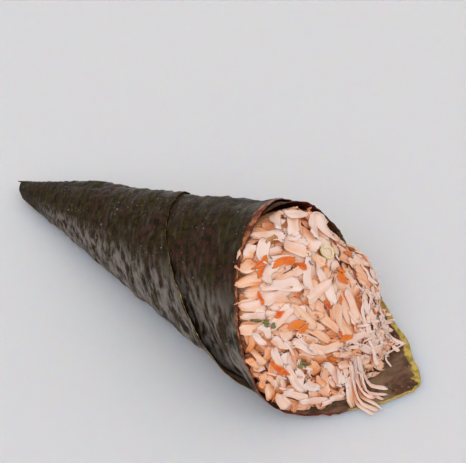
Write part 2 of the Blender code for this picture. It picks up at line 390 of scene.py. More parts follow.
def sheet_material(name, colours, fleck, painted_sheen_colour, edge, stain_and_painted_light, stain_and_light_mark, roughness, relief):
    """Roasted nori: laver pulped, dried in a thin layer on a mat and toasted.

    The drying leaves it blotched in browns and olives, with pale mineral flecks that also serve as
    painted glints, and the wet filling leaves it crinkled. The crinkles break its shine into
    streaks.

    Its colours are its main one and those of its blotches, small patches and damp patches. Edge
    and the stain with its painted light are two colours each, the painted sheen colour stands for
    the floor's reflection on the flank, and relief is how high its crinkles and its fibres stand.
    """
    material, tree, shader = new_material(name)
    kept = {mark: add_node(tree, "ShaderNodeAttribute", attribute_name=mark)
            for mark in ("flat_place", "roll_place", "painted_sheen", stain_and_light_mark, "fringe")}
    sheet = kept["flat_place"].outputs["Vector"]
    turned = add_node(tree, "ShaderNodeVectorRotate", {
        "Vector": kept["roll_place"].outputs["Vector"], "Angle": -STREAK_LEAN},
        rotation_type="Z_AXIS").outputs["Vector"]
    along_crinkles, along_folds = [
        add_node(tree, "ShaderNodeVectorMath", {0: turned, 1: (share, 1.0, 1.0)},
                 operation="MULTIPLY").outputs["Vector"] for share in (0.3, 0.5)]
    # Folds 4 mm apart, lace 1.6 mm across along the edges, and fibres 0.8 mm apart, which are
    # coarser than real laver's so that they show
    folds, lace, fibre = [
        add_node(tree, "ShaderNodeTexNoise", {"Vector": place, "Scale": 1.0 / size,
                                              "Detail": detail, "Roughness": rough}).outputs["Fac"]
        for place, size, detail, rough in ((along_folds, 4.2 * MM, 3.0, 0.6),
                                           (sheet, 1.6 * MM, 2.0, 0.5),
                                           (sheet, 0.8 * MM, 3.0, 0.6))]

    # Blotches of thicker and thinner laver, 8 mm and 2.2 mm across, and damp patches of 15 mm
    colour, blotch, _ = add_layer(tree, colours[0], colours[1], sheet, 8 * MM, 0.40, 0.60,
                                  detail=3.0)
    colour, _, _ = add_layer(tree, colour, colours[3], sheet, 15 * MM, 0.46, 0.62, strength=0.8,
                             detail=1.0)
    colour, patch, _ = add_layer(tree, colour, colours[2], sheet, 2.2 * MM, 0.42, 0.62,
                                 detail=3.0, roughness=0.6)
    # Crinkles 1.5 mm apart: their raised sides are paler
    colour, _, crinkle = add_layer(tree, colour, fleck, along_crinkles, 1.5 * MM, 0.50, 0.72,
                                   strength=0.5, detail=3.0, roughness=0.55)
    # Painted sheen: the floor's grey reflection low on the flank, in streaks along the crinkles and
    # folds
    folded = add_node(tree, "ShaderNodeMath", {0: folds, 1: 1.4, 2: crinkle},
                      operation="MULTIPLY_ADD").outputs[0]
    streaked = add_node(tree, "ShaderNodeMapRange", {"Value": folded, "From Min": 1.02,
                                                     "From Max": 1.40},
                        interpolation_type="SMOOTHSTEP").outputs["Result"]
    painted_sheen_shown = add_node(tree, "ShaderNodeMath", {0: kept["painted_sheen"].outputs["Fac"], 1: streaked},
                   operation="MULTIPLY").outputs[0]
    colour = add_node(tree, "ShaderNodeMix", {0: painted_sheen_shown, 6: colour, 7: painted_sheen_colour},
                      data_type="RGBA").outputs[2]
    # Pale flecks, 1 mm across and in loose groups: mineral specks, and painted glints
    flecked, _, _ = add_layer(tree, colour, linear("#86826e"), sheet, 1.0 * MM, 0.66, 0.74,
                              detail=1.0)
    colour, _, _ = add_layer(tree, colour, flecked, sheet, 11 * MM, 0.48, 0.62, detail=0.0)
    # Stains from the wet filling with painted light, and then the free edges, which are thin and
    # green
    lacy = add_node(tree, "ShaderNodeMath", {0: lace, 1: 1.1, 2: -0.55},
                    operation="MULTIPLY_ADD").outputs[0]
    for mark, low, high, pair in ((stain_and_light_mark, 0.25, 0.65, stain_and_painted_light), ("fringe", 0.30, 0.60, edge)):
        marked = kept[mark].outputs["Fac"]
        uneven = add_node(tree, "ShaderNodeMath", {0: marked, 1: lacy}, operation="ADD").outputs[0]
        held = [add_node(tree, "ShaderNodeMapRange", {"Value": value, "From Min": start,
                                                      "From Max": end},
                         interpolation_type="SMOOTHSTEP").outputs["Result"]
                for value, start, end in ((uneven, low, high), (marked, 0.0, 0.1))]
        shown = add_node(tree, "ShaderNodeMath", dict(enumerate(held)), operation="MULTIPLY")
        mottled = add_node(tree, "ShaderNodeMix", {0: patch, 6: pair[0], 7: pair[1]},
                           data_type="RGBA").outputs[2]
        colour = add_node(tree, "ShaderNodeMix", {0: shown.outputs[0], 6: colour, 7: mottled},
                          data_type="RGBA").outputs[2]
    tree.links.new(colour, shader.inputs["Base Color"])

    height = add_node(tree, "ShaderNodeMath", {0: fibre, 1: relief[1] / relief[0], 2: crinkle},
                      operation="MULTIPLY_ADD")
    bump = add_node(tree, "ShaderNodeBump", {"Strength": 1.0, "Distance": relief[0],
                                             "Height": height.outputs[0]})
    tree.links.new(bump.outputs["Normal"], shader.inputs["Normal"])
    sheen = add_node(tree, "ShaderNodeMapRange", {"Value": blotch, "To Min": roughness[0],
                                                  "To Max": roughness[1]},
                     interpolation_type="SMOOTHSTEP")
    tree.links.new(sheen.outputs["Result"], shader.inputs["Roughness"])
    shader.inputs["IOR"].default_value = 1.45
    shader.inputs["Metallic"].default_value = 0.0
    shader.inputs["Specular IOR Level"].default_value = 0.08
    return material


def shred_material(name, colours, roughness):
    """Crab stick: white fish paste steamed in sheets, rolled, painted on its skin and shredded.

    The fibres are wet with dressing: soft to the light and glossy in streaks. Where the shreds lie
    deep they are painted darker and more orange, as painted shade and bounce light. Its colours go
    from deep to pale, then soaked and fibrous.
    The toppings on the heap are cut as finely and as wet, so they differ only in colour and gloss.
    """
    material, tree, shader = new_material(name)
    tone = add_node(tree, "ShaderNodeAttribute", attribute_name="tone").outputs["Fac"]
    across = add_node(tree, "ShaderNodeAttribute", attribute_name="shred_place").outputs["Vector"]
    place = add_node(tree, "ShaderNodeTexCoord").outputs["Object"]
    colour = colours[0]
    for start, paler in ((0.0, colours[1]), (0.5, colours[2])):
        share = add_node(tree, "ShaderNodeMapRange", {"Value": tone, "From Min": start,
                                                      "From Max": start + 0.5},
                         interpolation_type="SMOOTHSTEP").outputs["Result"]
        colour = add_node(tree, "ShaderNodeMix", {0: share, 6: colour, 7: paler},
                          data_type="RGBA").outputs[2]
    # Cloudy patches where the dressing has soaked in, 5 mm across
    colour, _, _ = add_layer(tree, colour, colours[3], place, 5 * MM, 0.45, 0.70, strength=0.55)
    # Muscle fibres 0.6 mm apart along each shred, coarser than the real ones so that they show
    along = add_node(tree, "ShaderNodeVectorMath", {0: across, 1: (1.0, 0.08, 1.0)},
                     operation="MULTIPLY").outputs["Vector"]
    colour, _, fibre = add_layer(tree, colour, colours[4], along, 0.6 * MM, 0.35, 0.7,
                                 strength=0.35, detail=1.0)
    tree.links.new(colour, shader.inputs["Base Color"])
    bump = add_node(tree, "ShaderNodeBump", {"Strength": 1.0, "Distance": 0.05 * MM,
                                             "Height": fibre})
    tree.links.new(bump.outputs["Normal"], shader.inputs["Normal"])
    shader.inputs["Roughness"].default_value = roughness
    shader.inputs["IOR"].default_value = 1.38
    # Light comes through the thin wet shreds, into the gaps under them
    through = add_node(tree, "ShaderNodeBsdfTranslucent", {"Color": colour})
    mixed = add_node(tree, "ShaderNodeMixShader", {0: 0.10, 1: shader.outputs["BSDF"],
                                                   2: through.outputs["BSDF"]})
    output = next(node for node in tree.nodes if node.type == "OUTPUT_MATERIAL")
    tree.links.new(mixed.outputs["Shader"], output.inputs["Surface"])
    return material


# ------------------------------------------------------------------------------------------
# The nori
# ------------------------------------------------------------------------------------------

class NoriSettings(bpy.types.PropertyGroup):
    """Sizes and colours of the rolled sheet."""
    wall: length_setting("Sheet thickness", "Thickness of the damp sheet",
                         0.22 * MM, 0.05 * MM, 0.5 * MM)
    pitch: length_setting("Layer pitch", "How much deeper each layer of the winding lies",
                          0.34 * MM, 0.1 * MM, 0.7 * MM)
    crumple: length_setting("Crumple height", "How far the wrinkles stand out",
                            0.9 * MM, 0.0, 2 * MM)
    rag: length_setting("Ragged edge", "How far the free edges wander", 0.8 * MM, 0.0, 2 * MM)
    brown: colour_setting("Brown", "The roasted sheet's main colour", "#33240f")
    olive: colour_setting("Olive", "Its greener patches", "#362c10")
    purple: colour_setting("Purple brown", "Its damp patches", "#3e221a")
    edge: colour_setting("Edge", "The thin free edges, where light comes through", "#6e6a2c")


SHEET_COLUMNS = 380
SHEET_ROWS = 120
STREAK_LEAN = math.radians(25)

# The sheet's creases, each as (random seed, width, length, lean in degrees, share of the height)
CREASES = ((11, 17 * MM, 14 * MM, 0, 0.45), (12, 5 * MM, 7 * MM, 20, 0.35),
           (13, 2.6 * MM, 13 * MM, 25, 0.50), (14, 1.7 * MM, 5 * MM, 30, 0.28))
CREASE_FULL = 60 * MM

# The free edges: how large the bites in them are, and where on the tongue they are deeper
RAG_SIZES = (6 * MM, 1.7 * MM)
TONGUE_RAG = 1.2
TONGUE_RAG_START = 112 * MM
TONGUE_RAG_FADE = 12 * MM

# The seam's lip, and the gap where it stands higher and the layer under it is dented: where
# round the cone the gap starts, is widest and ends
LIP_HEIGHT = 0.25 * MM
LIP_WIDTH = 7 * MM
GAP_START = 0.10
GAP_WIDEST = 0.27
GAP_END = 0.44
GAP_LIP = 1.3 * MM
GAP_DENT = 1.7 * MM
GAP_DEPTH = 9.0 * MM
GAP_DENT_END = 2 * MM
GAP_DENT_FADE = 9 * MM
SEAM_BULGE = 3.0 * MM
SEAM_BULGE_TURN = 0.55
SEAM_BULGE_SPREAD = 0.18

# The rim's flare, just past the top of the mouth
RIM_FLARE = 1.7 * MM
RIM_FLARE_WIDTH = 9 * MM
RIM_FLARE_LEAD = 0.04
RIM_FLARE_SPREAD = 0.15

# The tip, torn off slantwise, which leaves a spike on its top
TIP_WANDER = 0.8 * MM
TIP_WANDERS = 9.0
TIP_SLANT = 3.4 * MM
TIP_SPIKE = 2.4 * MM
TIP_SPIKE_TURN = 0.10
TIP_SPIKE_SPREAD = 0.035

# The outer end's free long side: its torn line, and its curl off the roll near the tip
FREE_SIDE_TEAR = 0.016
FREE_SIDE_TEAR_SIZE = 1.8 * MM
FREE_SIDE_TEAR_TURNS = 0.04
FREE_SIDE_CURL = 2.8 * MM
FREE_SIDE_CURL_TURNS = 0.13
FREE_SIDE_CURL_REACH = 33 * MM
FREE_SIDE_CURL_SPREAD = 32 * MM

# The green fringe: its width, its lace on the tongue's corner and on the free side, how faint it
# is along the seam, and where it ends
FRINGE_WIDTH = 1.2 * MM
LACE_WIDTH = 3.3 * MM
LACE_END = 1.95
LACE_FADE = 0.10
FREE_SIDE_LACE = 0.2
FREE_SIDE_LACE_TURNS = 0.15
SEAM_FRINGE = 0.35
FRINGE_END = 2.02
FRINGE_FADE = 0.06

# Painted light on the sheet: orange light bounced from the salad on the near rim, light through it
# on the far wall
# The filling's stains, with that painted light: along the near rim, wider at its top, and down the
# far wall
STAIN_AND_LIGHT_MIDDLE = 1.18
STAIN_AND_LIGHT_SPREAD = 0.38
STAIN_AND_LIGHT_WIDTH = 1.6 * MM
TOP_STAIN_AND_LIGHT_WIDTH = 2.6 * MM
TOP_STAIN_AND_LIGHT_SPREAD = 0.10
WALL_STAIN_AND_LIGHT = 0.8
WALL_STAIN_AND_LIGHT_PLACE = 0.93
WALL_STAIN_AND_LIGHT_SPREAD = 0.24
WALL_STAIN_AND_LIGHT_DEPTH = 16 * MM

# The floor's reflection on the near flank, painted into the colour as a grey sheen
# The painted sheen: where it starts and ends round the near flank, and how far from the tip it
# starts
PAINTED_SHEEN_START = 0.13
PAINTED_SHEEN_END = 0.62
PAINTED_SHEEN_FADES = (0.10, 0.12)
PAINTED_SHEEN_REACH = 6 * MM
PAINTED_SHEEN_REACH_FADE = 18 * MM


def crumple(reach, around, height):
    """How far the rolled sheet stands out of its true cone, the same for all its layers."""
    full = smooth_step((reach + TIP_OVERRUN) / CREASE_FULL)
    return height * full * sum(share * streaks(seed, reach, around, width, length,
                                               math.radians(lean))
                               for seed, width, length, lean, share in CREASES)


def seam_bulge(turn):
    """How much further the seam reaches on the flank, where it lifts off."""
    return SEAM_BULGE * swell((turn - SEAM_BULGE_TURN) / SEAM_BULGE_SPREAD)


def gap_opening(around):
    """How open the seam's gap is round the cone, from 0 to 1."""
    return swell((around - GAP_WIDEST) / np.where(around < GAP_WIDEST, GAP_WIDEST - GAP_START,
                                                  GAP_END - GAP_WIDEST))


def ragged_edge(turn, reach, height):
    """How far the free edge wanders from its clean line, more so on the tongue."""
    steps = np.linalg.norm(np.diff(np.stack(flat_place(turn, reach)), axis=-1), axis=0)
    run = np.concatenate([np.zeros_like(steps[..., :1]), np.cumsum(steps, axis=-1)], axis=-1)
    coarse, fine = random_line(21, run / RAG_SIZES[0]), random_line(22, run / RAG_SIZES[1])
    tongue = 1.0 + TONGUE_RAG * smooth_step((reach - TONGUE_RAG_START) / TONGUE_RAG_FADE)
    return height * tongue * (0.5 * coarse + 0.5 * fine)


def sheet_depth(turn, reach, around, to_edge, settings):
    """How deep the sheet lies under the cone's outer surface."""
    # Layers lie one pitch under each other, and the last of the winding dips under the first
    whole = np.floor(turn)
    dip = smooth_step((turn - whole - DIP_START) / (1.0 - DIP_START))
    drop = smooth_step((reach - TONGUE_DROP_START) / (TONGUE_DROP_END - TONGUE_DROP_START))
    depth = settings.pitch * (whole + dip) * (1.0 - drop)
    depth = depth - crumple(reach, around, settings.crumple)

    # The seam's lip, and the dent in the layer under it
    lip = smooth_step(1.0 - to_edge / LIP_WIDTH) * (LIP_HEIGHT + GAP_LIP * gap_opening(around))
    depth = depth - np.where(turn < OUTER_CORNER_TURN, lip, 0.0)
    wrapped = np.mod(around, 1.0)
    over = np.clip(wrapped - OUTER_END_AROUND, 0.0, OUTER_CORNER_TURN)
    past_seam = reach - (seam_reach(over) + seam_bulge(over))
    dent = GAP_DENT * gap_opening(wrapped) * smooth_step((past_seam + GAP_DEPTH) / GAP_DEPTH)
    dent = dent * (1.0 - smooth_step((past_seam - GAP_DENT_END) / GAP_DENT_FADE))
    depth = depth + np.where(turn >= 1.0, dent, 0.0)

    # The rim's flare, and the free side's curl
    flare = swell(from_place(around, -RIM_FLARE_LEAD) / RIM_FLARE_SPREAD)
    flare = flare * smooth_step(1.0 - to_edge / RIM_FLARE_WIDTH)
    depth = depth - RIM_FLARE * flare * (turn > 1.0)
    curl = smooth_step(1.0 - turn / FREE_SIDE_CURL_TURNS)
    curl = curl * swell((reach - FREE_SIDE_CURL_REACH) / FREE_SIDE_CURL_SPREAD)
    return depth - FREE_SIDE_CURL * curl * (turn < 1.0)


def sheet_marks(turn, reach, around, to_edge):
    """How strongly the sheet's fringe, its stains with painted light and its painted sheen show,
    from 0 to 1.
    """
    outer_end = turn * (PERIMETER * (reach + TIP_OVERRUN))
    lacy = (turn > CORNER_TURN) * (1.0 - smooth_step((turn - LACE_END) / LACE_FADE))
    lacy = np.maximum(lacy, FREE_SIDE_LACE * smooth_step(1.0 - turn / FREE_SIDE_LACE_TURNS))
    fringe = smooth_step(1.0 - np.minimum(to_edge, outer_end)
                         / (FRINGE_WIDTH + LACE_WIDTH * lacy))
    seam_side = (turn < OUTER_CORNER_TURN) & (to_edge < outer_end)
    fringe = fringe * np.where(seam_side, SEAM_FRINGE, 1.0)
    near_rim = smooth_step(3.0 * swell((around - STAIN_AND_LIGHT_MIDDLE) / STAIN_AND_LIGHT_SPREAD))
    fringe = fringe * (1.0 - near_rim) * (1.0 - smooth_step((turn - FRINGE_END) / FRINGE_FADE))

    top_rim = swell(from_place(around, 0.0) / TOP_STAIN_AND_LIGHT_SPREAD)
    stain_and_painted_light = smooth_step(1.0 - to_edge / (STAIN_AND_LIGHT_WIDTH + TOP_STAIN_AND_LIGHT_WIDTH * top_rim)) * near_rim
    far_wall = swell(from_place(around, WALL_STAIN_AND_LIGHT_PLACE) / WALL_STAIN_AND_LIGHT_SPREAD)
    far_wall = far_wall * smooth_step(1.0 - to_edge / WALL_STAIN_AND_LIGHT_DEPTH)
    wall_stain_and_light = np.maximum(stain_and_painted_light, WALL_STAIN_AND_LIGHT * far_wall * (turn > 1.0))

    wrapped = np.mod(around, 1.0)
    painted_sheen = smooth_step((wrapped - PAINTED_SHEEN_START) / PAINTED_SHEEN_FADES[0])
    painted_sheen = painted_sheen * smooth_step((PAINTED_SHEEN_END - wrapped) / PAINTED_SHEEN_FADES[1])
    painted_sheen = painted_sheen * smooth_step((reach - PAINTED_SHEEN_REACH) / PAINTED_SHEEN_REACH_FADE)
    return {"fringe": fringe, "stain_and_painted_light": stain_and_painted_light, "wall_stain_and_light": wall_stain_and_light, "painted_sheen": painted_sheen}


def sheet_grid(settings):
    """The rolled sheet's outer face as a grid of points, with the marks that its colours need."""
    turn = np.linspace(0.0, TURNS, SHEET_COLUMNS)[None, :]
    part = np.linspace(0.0, 1.0, SHEET_ROWS)[:, None]
    edge = edge_reach(turn) + seam_bulge(turn)
    edge = edge + ragged_edge(turn, edge, settings.rag)
    tip = TIP_LAYER_SETBACK * turn + TIP_WANDER * random_line(23, turn * TIP_WANDERS)
    bearing = around_of(turn, tip)
    tip = tip + TIP_SLANT * (0.25 - 0.5 * np.cos(2.0 * math.pi * bearing))
    tip = tip - TIP_SPIKE * swell((turn - TIP_SPIKE_TURN) / TIP_SPIKE_SPREAD)
    reach = tip + (edge - tip) * part
    torn = random_line(24, reach / FREE_SIDE_TEAR_SIZE)
    turn = turn + FREE_SIDE_TEAR * torn * smooth_step(1.0 - turn / FREE_SIDE_TEAR_TURNS)
    around = around_of(turn, reach)
    to_edge = edge - reach
    points = cone_points(reach, around, sheet_depth(turn, reach, around, to_edge, settings))
    points[..., 2] = np.maximum(points[..., 2], TABLE_Z)
    level = np.zeros_like(reach)
    places = {"flat_place": np.stack([*flat_place(turn, reach), level], axis=-1),
              "roll_place": np.stack([*roll_place(reach, around), level], axis=-1)}
    return points, sheet_marks(turn, reach, around, to_edge), places


class TEMAKI_OT_nori_wrap(bpy.types.Operator):
    """Roll the nori sheet into its cone"""
    bl_idname = "temaki.nori_wrap"
    bl_label = "Nori wrap"
    bl_options = {"REGISTER", "UNDO"}

    def execute(self, context):
        settings = context.scene.temaki_nori
        points, marks, places = sheet_grid(settings)
        # The outer face was dried on glass-smooth boards, the inner one on the mat
        smooth_side = sheet_material(
            "Roasted nori, smooth side",
            (tuple(settings.brown), tuple(settings.olive), linear("#21190c"),
             tuple(settings.purple)),
            linear("#5a5345"), linear("#80766f"), (tuple(settings.edge), linear("#3f3b1e")),
            shades("#6a3024", "#b0704a"), "stain_and_painted_light", (0.30, 0.50), (0.45 * MM, 0.20 * MM))
        rough_side = sheet_material(
            "Roasted nori, mat side", shades("#6a4c36", "#7a6042", "#4c3628", "#663e34"),
            linear("#8b7a66"), linear("#8a6f58"), shades("#cdb05a", "#988442"),
            shades("#4a2018", "#7a3826"), "wall_stain_and_light", (0.60, 0.75), (0.30 * MM, 0.35 * MM))
        faces = grid_faces(SHEET_ROWS, SHEET_COLUMNS)
        wrap = new_piece("nori_wrap", points, faces, [smooth_side, rough_side], marks, places)
        wall = wrap.modifiers.new("wall", "SOLIDIFY")
        wall.thickness = settings.wall
        wall.offset = -1.0
        wall.use_even_offset = False
        wall.material_offset = 1
        wall.material_offset_rim = 1
        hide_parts("nori_sheet")
        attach(wrap, "root")
        return {"FINISHED"}


# ------------------------------------------------------------------------------------------
# The crab salad
# ------------------------------------------------------------------------------------------

# How deep in the cone the solid salad's side lies, where this core's lower end is, and how far back
# from the sheet's edge the salad's rim is, in mm for each part of a turn
CAD_LAYER_DEPTH = 2.0 * MM
SALAD_TIP_REACH = 22.0 * MM
SALAD_SETBACK = ((0.0, -1.5), (0.12, 0.5), (0.25, 2.0), (0.38, 3.0), (0.46, 5.0), (0.55, 13.0),
                 (0.62, 6.0), (0.70, 0.0), (0.78, -3.0), (0.90, -2.5), (1.0, -1.5))
# How high the heap stands in the middle, and how steeply it falls to its rim
HEAP_CROWN = 10.5 * MM
HEAP_FALL = 2.2
HEAP_ROUNDNESS = 0.8
# How far the heap stands over the rim it rests in, in mm, for each part of a turn
HEAP_EDGE = ((0.0, -2.5), (0.05, -0.5), (0.12, 1.5), (0.2, 3.0), (0.3, 3.5), (0.38, 3.5),
             (0.44, 1.5), (0.52, -1.0), (0.58, 0.0), (0.66, 2.5), (0.70, 4.0), (0.735, 2.0),
             (0.77, -5.5), (0.83, -6.0), (0.88, -3.0), (1.0, -2.5))
# How far out the heap reaches, as a share of its rim, for each part of a turn
HEAP_SHARE = ((0.0, 1.06), (0.08, 1.05), (0.15, 1.02), (0.22, 1.01), (0.30, 1.01), (0.36, 1.03),
              (0.42, 1.05), (0.50, 1.03), (0.60, 0.98), (0.68, 1.02), (0.84, 1.02), (0.88, 1.03),
              (1.0, 1.06))
# How deep the core lies under the cone at its rim and further in, and where it keeps clear of the
# dent beside the seam
CORE_DEPTH = 2.4 * MM
CORE_SIDE_DEPTH = 4.8 * MM
CORE_SHOULDER = 9 * MM
CORE_DENT_PLACE = GAP_WIDEST + 0.05
CORE_DENT_SPREAD = 0.24
# How far its rim lies under the mouth's, as a share of its depth, how high and how wide its lumps
# and its strands are, and how fine its mesh is
CORE_RIM_SUNK = 0.6
CORE_RELIEF = 1.0 * MM
LUMP_SIZE = 9 * MM
STRAND_SIZE = 2.6 * MM
CORE_RINGS = 40
CORE_HEAP_RINGS = 34
CORE_COLUMNS = 150

salad_setback = smooth_table(SALAD_SETBACK)
heap_edge = smooth_table(HEAP_EDGE)
heap_share = smooth_table(HEAP_SHARE)


def mouth_ring(depth, setback):
    """Points round the mouth on the salad's outer side."""
    around = np.arange(CORE_COLUMNS) / CORE_COLUMNS
    turn = 1.0 - OUTER_END_AROUND + around
    reach = edge_reach(turn) - salad_setback(around) * MM - setback
    return around, reach, cone_points(reach, around, depth + np.zeros_like(reach))


class Plane:
    """A plane that shreds are laid over: its middle, its two runs and its normal."""

    def __init__(self, centre, normal, side):
        self.centre = np.array(centre)
        self.normal = np.array(normal) / np.linalg.norm(normal)
        side = np.array(side) - self.normal * (np.array(side) @ self.normal)
        self.side = side / np.linalg.norm(side)
        self.up = np.cross(self.normal, self.side)

    def point(self, side, up, height):
        """The point this far along each of the plane's directions."""
        return (self.centre + np.multiply.outer(side, self.side)
                + np.multiply.outer(up, self.up) + np.multiply.outer(height, self.normal))


class Mouth(Plane):
    """The tilted plane of the roll's mouth, whose sideways run is the table's +Y."""
    # The tongue lies beyond these places and lower than this, and the wall this far outside
    TONGUE_UP = -12 * MM
    TONGUE_HEIGHT = 7 * MM
    TONGUE_SIDE = -5 * MM
    WALL_CLEARANCE = -0.8 * MM

    def __init__(self):
        ring = mouth_ring(CAD_LAYER_DEPTH, 0.0)[2]
        rim = ring - ring.mean(axis=0)
        normal = np.cross(rim, np.roll(rim, -1, axis=0)).sum(axis=0)
        super().__init__(ring.mean(axis=0), normal * np.sign(normal[0]), (0.0, 1.0, 0.0))
        place = np.stack([rim @ self.side, rim @ self.up], axis=-1)
        order = np.argsort(np.arctan2(place[:, 1], place[:, 0]))
        self.bearings = np.arctan2(place[order, 1], place[order, 0])
        self.radii = np.hypot(place[order, 0], place[order, 1])
        self.rises = (rim @ self.normal)[order]
        self.arounds = (np.arange(len(ring)) / len(ring))[order]

    def read(self, values, bearing):
        """A value kept round the rim, at these bearings."""
        return np.interp(bearing, self.bearings, values, period=2.0 * math.pi)

    def share(self, side, up):
        """How far out these places lie, from 0 at the mouth's middle to 1 at its rim."""
        return np.hypot(side, up) / self.read(self.radii, np.arctan2(up, side))

    def top(self, side, up):
        """How high the finished heap stands at these places."""
        bearing = np.arctan2(up, side)
        share = np.minimum(self.share(side, up), 1.0)
        edge = self.read(self.rises + heap_edge(self.arounds) * MM, bearing)
        return edge * share ** 2 + HEAP_CROWN * (1.0 - share ** HEAP_FALL) ** HEAP_ROUNDNESS

    def on_tongue(self, up, z):
        """Whether these places are over the sheet's tongue."""
        return (up < self.TONGUE_UP) & (z - TABLE_Z < self.TONGUE_HEIGHT)

    def holds(self, side, up, place):
        """Whether a shred may lie here: within the rim, or on the sheet's tongue below it."""
        over = self.on_tongue(up, place.z) and side > self.TONGUE_SIDE
        widest = self.read(heap_share(self.arounds), math.atan2(up, side))
        return over or self.share(side, up) < widest

    def kept_in(self, side, up, height):
        """The same places, with those below the rim drawn in so that they stay in the cone."""
        bearing = np.arctan2(up, side)
        below = np.maximum(self.read(self.rises, bearing) + self.WALL_CLEARANCE - height, 0.0)
        widest = self.read(self.radii * heap_share(self.arounds), bearing) - 0.4 * below
        out = np.maximum(np.hypot(side, up), 1e-6)
        free = (below == 0.0) | self.on_tongue(up, self.point(side, up, 0.0)[..., 2]
                                               + height * self.normal[2])
        scale = np.where(free, 1.0, np.minimum(1.0, widest / out))
        return side * scale, up * scale


class Table(Plane):
    """The level plane under the sheet's tongue, whose runs are the table's +X and +Y."""
    # Where the heap's foot starts, and how high it may be
    HEAP_FOOT = 42 * MM
    HEIGHT = 16 * MM

    def __init__(self):
        super().__init__((0.0, 0.0, TABLE_Z), (0.0, 0.0, 1.0), (1.0, 0.0, 0.0))

    def holds(self, side, up, place):
        """Whether a shred may lie here: on the tongue, or on the foot of the heap."""
        return side > self.HEAP_FOOT and place.z - TABLE_Z < self.HEIGHT

    def kept_in(self, side, up, height):
        """The same places, since nothing stands round the tongue."""
        return side, up


MOUTH = Mouth()
TABLE = Table()


class SaladSettings(bpy.types.PropertyGroup):
    """Sizes and colours of the crab salad."""
    shreds: IntProperty(
        name="Shreds", description="How many shreds of crab stick lie in the heap", default=850,
        min=50, max=1200)
    fibres: IntProperty(
        name="Loose fibres", description="How many fine fibres lie on the heap", default=90,
        min=0, max=400)
    width: length_setting("Shred width", "Width of a middling shred",
                          2.9 * MM, 0.5 * MM, 5 * MM)
    length: length_setting("Shred length", "Length of a middling shred",
                           16 * MM, 4 * MM, 30 * MM)
    thickness: length_setting("Shred thickness", "Thickness of a middling shred",
                              0.32 * MM, 0.2 * MM, 2 * MM)
    sunk: length_setting("Core depth", "How far the core lies under the heap's outside",
                         2.8 * MM, 1 * MM, 10 * MM)
    pale: colour_setting("Pale flesh", "The inside of the crab stick", "#fde0d4")
    peach: colour_setting("Dressed flesh", "Flesh stained by the dressing", "#fcc096")
    skin: colour_setting("Painted skin", "The stick's orange-red skin", "#e83c12")


def core_rows(sunk):
    """Rings of points from the core's lower end up its sides, and then in over its dome."""
    rim_around = np.arange(CORE_COLUMNS) / CORE_COLUMNS
    lowered = CORE_RIM_SUNK * sunk + np.maximum(-heap_edge(rim_around) * MM, 0.0)
    rim_depth = CORE_DEPTH + GAP_DENT * swell((rim_around - CORE_DENT_PLACE) / CORE_DENT_SPREAD)
    around, mouth_reach, ring = mouth_ring(rim_depth, lowered)
    part = np.linspace(0.0, 1.0, CORE_RINGS)[:, None]
    reach = SALAD_TIP_REACH + (mouth_reach[None, :] - SALAD_TIP_REACH) * part
    shoulder = smooth_step((mouth_reach[None, :] - reach) / CORE_SHOULDER)
    depth = rim_depth + (CORE_SIDE_DEPTH - rim_depth) * shoulder
    sides = cone_points(reach, np.broadcast_to(around, reach.shape), depth)

    rim = ring - MOUTH.centre
    share = 1.0 - np.arange(1, CORE_HEAP_RINGS)[:, None] / CORE_HEAP_RINGS
    side, up = (rim @ MOUTH.side) * share, (rim @ MOUTH.up) * share
    fade = share ** 8
    height = (1.0 - fade) * (MOUTH.top(side, up) - sunk) + fade * (rim @ MOUTH.normal)
    dome = MOUTH.point(side, up, height)
    relief = CORE_RELIEF * (random_field(31)(dome / LUMP_SIZE)
                            + 0.45 * random_field(32)(dome / STRAND_SIZE))
    dome += MOUTH.normal * (relief * (1.0 - share ** 4))[..., None]
    return np.concatenate([sides, dome])


class TEMAKI_OT_salad_core(bpy.types.Operator):
    """Make the pressed core of the crab salad, under the loose shreds"""
    bl_idname = "temaki.salad_core"
    bl_label = "Salad core"
    bl_options = {"REGISTER", "UNDO"}

    def execute(self, context):
        rows = core_rows(context.scene.temaki_salad.sunk)
        points = rows.reshape(-1, 3).tolist()
        faces = grid_faces(len(rows), CORE_COLUMNS, closed=True)
        top = (len(rows) - 1) * CORE_COLUMNS
        for ring, first, flip in ((rows[0], 0, True), (rows[-1], top, False)):
            points.append(ring.mean(axis=0).tolist())
            for column in range(CORE_COLUMNS):
                corner = (first + column, first + (column + 1) % CORE_COLUMNS, len(points) - 1)
                faces.append(corner[::-1] if flip else corner)
        material, tree, shader = new_material("Crab stick, pressed and soaked, with painted shade")
        # Soaked through, and painted with the shade between the shreds, so it is deeper in colour
        # than the shreds, unevenly every 4 mm
        place = add_node(tree, "ShaderNodeTexCoord").outputs["Object"]
        colour, _, _ = add_layer(tree, linear("#e08a4c"), linear("#eeaa7a"), place, 4 * MM,
                                 0.35, 0.65, detail=3.0)
        tree.links.new(colour, shader.inputs["Base Color"])
        # Packed fibres, drawn 0.8 mm apart so that they show between the shreds
        fibre = add_node(tree, "ShaderNodeTexNoise", {"Vector": place, "Scale": 1.0 / (0.8 * MM),
                                                      "Detail": 3.0, "Roughness": 0.5})
        bump = add_node(tree, "ShaderNodeBump", {"Strength": 1.0, "Distance": 0.2 * MM,
                                                 "Height": fibre.outputs["Fac"]})
        tree.links.new(bump.outputs["Normal"], shader.inputs["Normal"])
        shader.inputs["Roughness"].default_value = 0.4
        shader.inputs["Subsurface Weight"].default_value = 0.3
        shader.inputs["Subsurface Radius"].default_value = (1.0, 0.4, 0.2)
        shader.inputs["Subsurface Scale"].default_value = 2 * MM
        core = new_piece("salad_core", points, faces, [material])
        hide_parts("crab_salad")
        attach(core, "root")
        return {"FINISHED"}


